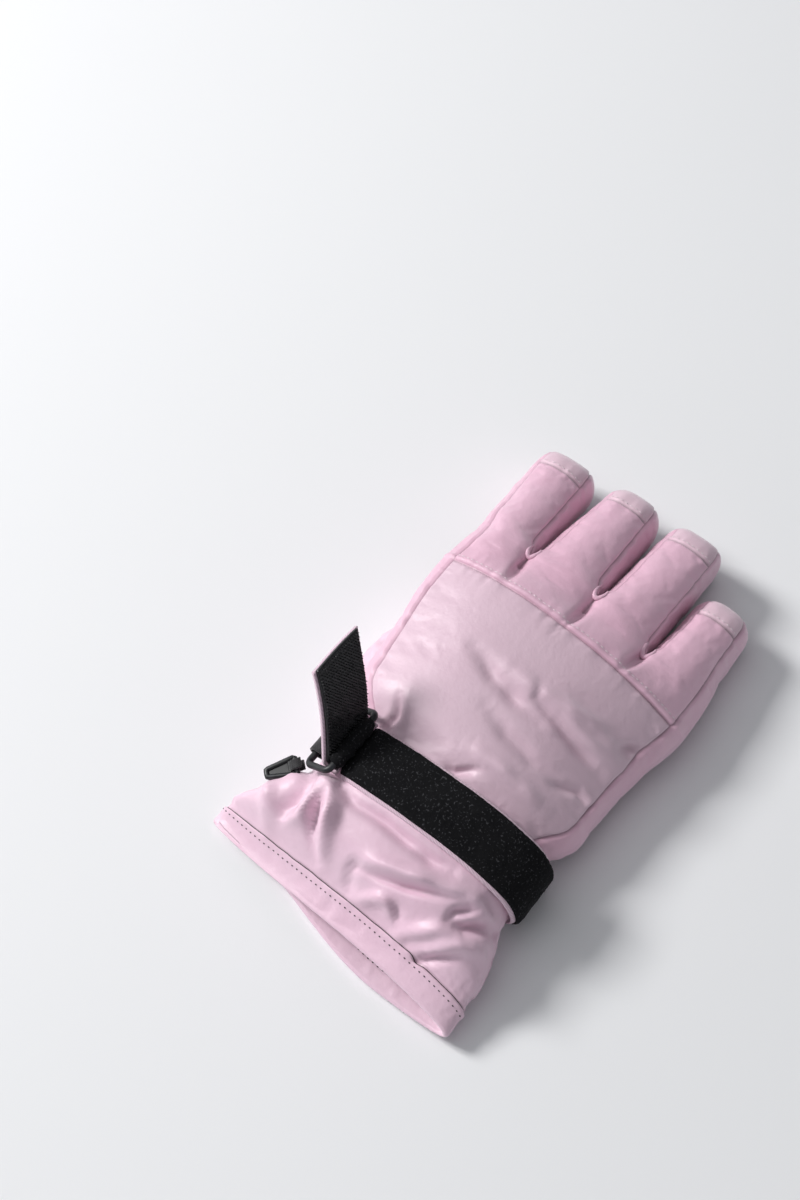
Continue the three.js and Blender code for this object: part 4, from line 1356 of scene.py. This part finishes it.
def tape_loop(name, bar, along, inner, width, leg, direction, thickness=1.1):
    """A narrow tape folded round a bar, with both ends leading away from it."""
    sweep = np.linspace(math.radians(-100), math.radians(100), 17) + direction
    side = np.cross(along, [0, 0, 1])
    if np.linalg.norm(side) < 0.1:
        side = np.array([1.0, 0, 0])

    def outline(radius):
        arc = [(radius * math.cos(a), radius * math.sin(a)) for a in sweep]
        back = (-math.cos(direction) * leg, -math.sin(direction) * leg)
        ends = [(arc[0][0] + back[0], arc[0][1] + back[1]), (arc[-1][0] + back[0], arc[-1][1] + back[1])]
        flat = [ends[0], *arc, ends[1]]
        return np.array([bar + side * a + np.array([0, 0, 1.0]) * b for a, b in flat])

    t = np.linspace(-1, 1, 9)
    outer = outline(inner + thickness)[:, None] + along * (t * width / 2)[None, :, None]
    inside = outline(inner)[:, None] + along * (t * width / 2)[None, :, None]
    piece = slab(name, outer, inside, WEBBING)
    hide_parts(name)
    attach(piece, "hand")


ANCHOR_LOW, ANCHOR_HIGH = low_high("ring_anchor")
tape_loop("ring_anchor", LOWER_BAR, np.array([0, 1.0, 0]), ROD + 0.6, ANCHOR_HIGH[1] - ANCHOR_LOW[1], 5.0,
          math.radians(200))
CLIP_AT = np.array(joint_at("clip_swing")) / MM
CLIP_TURN = math.radians(50)
CLIP_LENGTH, CLIP_WIDE, CLIP_NARROW, CLIP_THICK = 14.0, 9.4, 4.6, 2.4
clip_way = np.array([-math.cos(CLIP_TURN), -math.sin(CLIP_TURN), 0])
clip_side = np.array([-math.sin(CLIP_TURN), math.cos(CLIP_TURN), 0])
tape_loop("clip_loop", CLIP_AT, clip_side, 1.5, 4.2, 3.0, math.radians(200), 0.7)


def clip_point(u, w, h):
    """A point of the clip: u from its pivot to its narrow end, w across, h above its middle."""
    tilt = math.radians(-12)
    flat = clip_way * math.cos(tilt) + np.array([0, 0, 1]) * math.sin(tilt)
    up_from = np.array([0, 0, 1]) * math.cos(tilt) - clip_way * math.sin(tilt)
    return CLIP_AT + flat * (u - 1.1) + clip_side * w + up_from * h


def clip_width(u):
    return mix(CLIP_WIDE, CLIP_NARROW, u / CLIP_LENGTH) / 2


def clip_mesh():
    rim = [(0.8, -1), (CLIP_LENGTH - 0.8, -1), (CLIP_LENGTH - 0.8, 1), (0.8, 1)]
    corners = [(u, side * (clip_width(u) - 0.8)) for u, side in rim]
    outline = []
    for (u0, w0), (u1, w1) in zip(corners, corners[1:] + corners[:1]):
        outline += [clip_point(mix(u0, u1, t), mix(w0, w1, t), 0) for t in (0.06, 0.3, 0.5, 0.7, 0.94)]
    parts = [tube_mesh(outline, CLIP_THICK / 2, 10, closed=True)]
    parts.append(tube_mesh([clip_point(3.4, w, 0) for w in np.linspace(-3.4, 3.4, 7)], 0.8, 10))
    plate_us = np.linspace(3.4, CLIP_LENGTH - 0.6, 6)
    plate = [[clip_point(u, side * (clip_width(u) - 0.6), h) for side in (-1, 1)] for h in (0.25, -0.4)
             for u in plate_us]
    grid = np.array(plate).reshape(2, len(plate_us), 2, 3)
    ids = np.arange(len(plate_us) * 2).reshape(-1, 2)
    faces = quads(ids, True).tolist() + (quads(ids, False) + ids.size).tolist()
    parts.append((grid.reshape(-1, 3), faces))
    return joined(parts)


piece = add_piece("glove_clip", *clip_mesh(), PLASTIC)
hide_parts("glove_clip")
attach(piece, "clip")


# ---------- stitches and rolled edges ----------
def stitch_line(points, normals, length, pitch, radius, lift=0.12):
    """Points and faces of a row of stitches laid along a path on the fabric."""
    steps = np.linalg.norm(np.diff(points, axis=0), axis=1)
    reach = np.concatenate([[0], np.cumsum(steps)])
    meshes = []
    for start in np.arange(0.3, reach[-1] - length, pitch):
        where = np.linspace(start, start + length, 5)
        line = np.stack([np.interp(where, reach, points[:, i]) for i in range(3)], axis=1)
        out = np.stack([np.interp(where, reach, normals[:, i]) for i in range(3)], axis=1)
        rise = lift * np.array([-1.6, 0.5, 1, 0.5, -1.6])[:, None]
        meshes.append(tube_mesh(line + out * rise, radius * np.array([0.6, 1, 1.05, 1, 0.6]), 6))
    return joined(meshes)


def row_of(surface, panel, row, first=0, last=None):
    ids = surface.ids[panel][row, first:last]
    return surface.points[ids], surface.normals()[ids]


def row_near(surface, panel, y):
    """The row of a panel whose points are nearest to y at rest."""
    return int(np.abs(surface.rest[surface.ids[panel][:, 3], 1] - y).argmin())


def add_stitches(name, lines, look, length, pitch, radius):
    piece = add_piece(name, *joined([stitch_line(*line, length, pitch, radius) for line in lines]), look)
    return piece


# Length, pitch and radius of the stitches.
SEAM_STITCH = (1.7, 2.5, 0.2)
HEM_STITCH = (0.8, 2.6, 0.24)
knuckle_line = row_of(glove, "knuckle_yoke", row_near(glove, "knuckle_yoke", KNUCKLE_Y + 3.2))
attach(add_stitches("knuckle_stitches", [knuckle_line], THREAD, *SEAM_STITCH), "hand")
for i, finger in enumerate(FINGERS):
    line = row_of(glove, finger + "_cap", row_near(glove, finger + "_cap", SPEC[i]["cap"] + 2.0))
    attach(add_stitches(finger + "_cap_stitches", [line], THREAD, *SEAM_STITCH), finger + "_finger")


def crotch_roll(index):
    """The small rolled end of the side strips where two fingers part."""
    slab, y = SLABS[index], CROTCHES[index]
    uppers = np.where(glove.normals()[:, 2] > 0.25)[0]
    tree = KDTree(len(uppers))
    for i in uppers:
        tree.insert((glove.points[i, 0], glove.points[i, 1], 0), int(i))
    tree.balance()
    path = []
    for turn in np.linspace(-0.15, 1.15, 15):
        a = math.pi * turn
        x, along = slab - 2.3 * math.cos(a), y + 3.2 - 4.4 * math.sin(a)
        _, i, _ = tree.find((x, along, 0))
        path.append((x, along, glove.points[i, 2] + 0.2))
    heights = np.array([p[2] for p in path])
    smooth = np.convolve(np.pad(heights, 2, mode="edge"), np.ones(5) / 5, mode="valid")
    path = [(x, along, z) for (x, along, _), z in zip(path, smooth)]
    radii = 1.15 * np.sin(np.linspace(0.15, math.pi - 0.15, 15)) ** 0.5
    # The roll takes the finger copy of the shell with painted shade, and its seam distance of 3 keeps the
    # painted seam shade off it.
    return add_piece("crotch_roll_" + FINGERS[index], *tube_mesh(path, radii, 14), SHADED_FINGER_SHELL,
                     colour=np.full(15 * 14, 3.0))


for index in range(3):
    piece = crotch_roll(index)
    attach(piece, "hand")


def zigzag(row, span, columns):
    """A zigzag path across the gathered part of the palm, about a row."""
    ids = np.vstack([glove.ids["wrist_elastic"][:-1], glove.ids["palm_panel"]])
    width = ids.shape[1]
    picks = [ids[row + (span if (column // columns) % 2 else 0), column]
             for column in range(6, width - 6, columns)]
    points, normals = glove.points[picks], glove.normals()[picks]
    fine = np.linspace(0, len(picks) - 1, 6 * len(picks))
    line = np.stack([np.interp(fine, np.arange(len(picks)), points[:, i]) for i in range(3)], axis=1)
    out = np.stack([np.interp(fine, np.arange(len(picks)), normals[:, i]) for i in range(3)], axis=1)
    return tube_mesh(line + 0.15 * out, 0.17, 5)


elastic_rows = len(glove.ids["wrist_elastic"])
rows_of_zigzag = [zigzag(elastic_rows + step, 4, 4) for step in (-6, 1, 8)]
piece = add_piece("elastic_stitches", *joined(rows_of_zigzag), GREY_THREAD)
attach(piece, "hand")
# The hem's stitches in the dark thread, with painted shade of their pinholes.
hem_line = [row_of(cuff, panel, row_near(cuff, panel, HEM_SEAM_Y - 3.0))
            for panel in ("hem_back", "hem_palm")]
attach(add_stitches("hem_stitches", hem_line, PINHOLE_SHADE_THREAD, *HEM_STITCH), "hand")
# A dark line along the hem's seam: painted shade of the seam's groove and its pinholes.
seam_ids = ring_of(cuff, "cuff_back", "cuff_palm", 0)
seam_path = cuff.points[seam_ids] + 0.1 * cuff.normals()[seam_ids]
piece = add_piece("hem_seam_shade_line", *tube_mesh(seam_path, 0.2, 6, closed=True), PINHOLE_SHADE_THREAD)
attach(piece, "hand")
# The inner band's stitches, in the same dark thread with painted pinhole shade.
band_row = hem_rings[INNER_BAND_ROW + 2]
inner_band = [(inner_ring(band_row, 2 * HEM_ROUND), -cuff.normals()[band_row])]
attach(add_stitches("inner_hem_stitches", inner_band, PINHOLE_SHADE_THREAD, *HEM_STITCH), "hand")


# ---------- setting ----------
def add_stage():
    bpy.ops.mesh.primitive_plane_add(size=5)
    floor = bpy.context.object
    floor.name = "floor"
    look = Look("floor_paper", (0.86, 0.87, 0.885), 0.8)
    look.colour(look.blend_colour(look.noise(3.0), (0.85, 0.86, 0.875), (0.87, 0.88, 0.895)))
    floor.data.materials.append(look.material)


def add_light(name, place, size, power, colour):
    data = bpy.data.lights.new(name, "AREA")
    data.size = size
    data.energy = power
    data.color = colour
    light = bpy.data.objects.new(name, data)
    light.location = place
    light.rotation_euler = (-Vector(place)).to_track_quat("-Z", "Y").to_euler()
    bpy.context.scene.collection.objects.link(light)


def add_world():
    """A dim sky over a pale band along the horizon."""
    world = bpy.data.worlds.new("studio")
    world.use_nodes = True
    tree = world.node_tree
    place = tree.nodes.new("ShaderNodeTexCoord")
    height = tree.nodes.new("ShaderNodeSeparateXYZ")
    glow = tree.nodes.new("ShaderNodeMapRange")
    tree.links.new(place.outputs["Generated"], height.inputs[0])
    tree.links.new(height.outputs["Z"], glow.inputs["Value"])
    for socket, value in (("From Min", 0.2), ("From Max", 0.45), ("To Min", 0.7), ("To Max", 0.12)):
        glow.inputs[socket].default_value = value
    tree.nodes["Background"].inputs[0].default_value = (0.93, 0.95, 1, 1)
    tree.links.new(glow.outputs[0], tree.nodes["Background"].inputs[1])
    bpy.context.scene.world = world


def add_camera():
    """The viewing angle: 62 degrees above the floor, 38 degrees to the right of the cuff's end."""
    azimuth, elevation, distance = math.radians(38), math.radians(62), 0.74
    target = Vector((-0.0717, 0.02385, 0))
    back = Vector((math.sin(azimuth) * math.cos(elevation), -math.cos(azimuth) * math.cos(elevation),
                   math.sin(elevation)))
    data = bpy.data.cameras.new("camera")
    data.lens = 50
    data.sensor_fit = "VERTICAL"
    data.sensor_height = 36
    camera = bpy.data.objects.new("camera", data)
    camera.location = target + back * distance
    camera.rotation_euler = back.to_track_quat("Z", "Y").to_euler()
    bpy.context.scene.collection.objects.link(camera)
    bpy.context.scene.camera = camera


add_stage()
add_light("key", (-2.0, -0.45, 1.6), 0.7, 62.0, (1, 0.99, 0.98))
add_light("soft", (-0.7, -0.3, 2.2), 2.2, 14.0, (0.97, 0.98, 1))
add_world()
bpy.context.scene.view_settings.view_transform = "Standard"
add_camera()
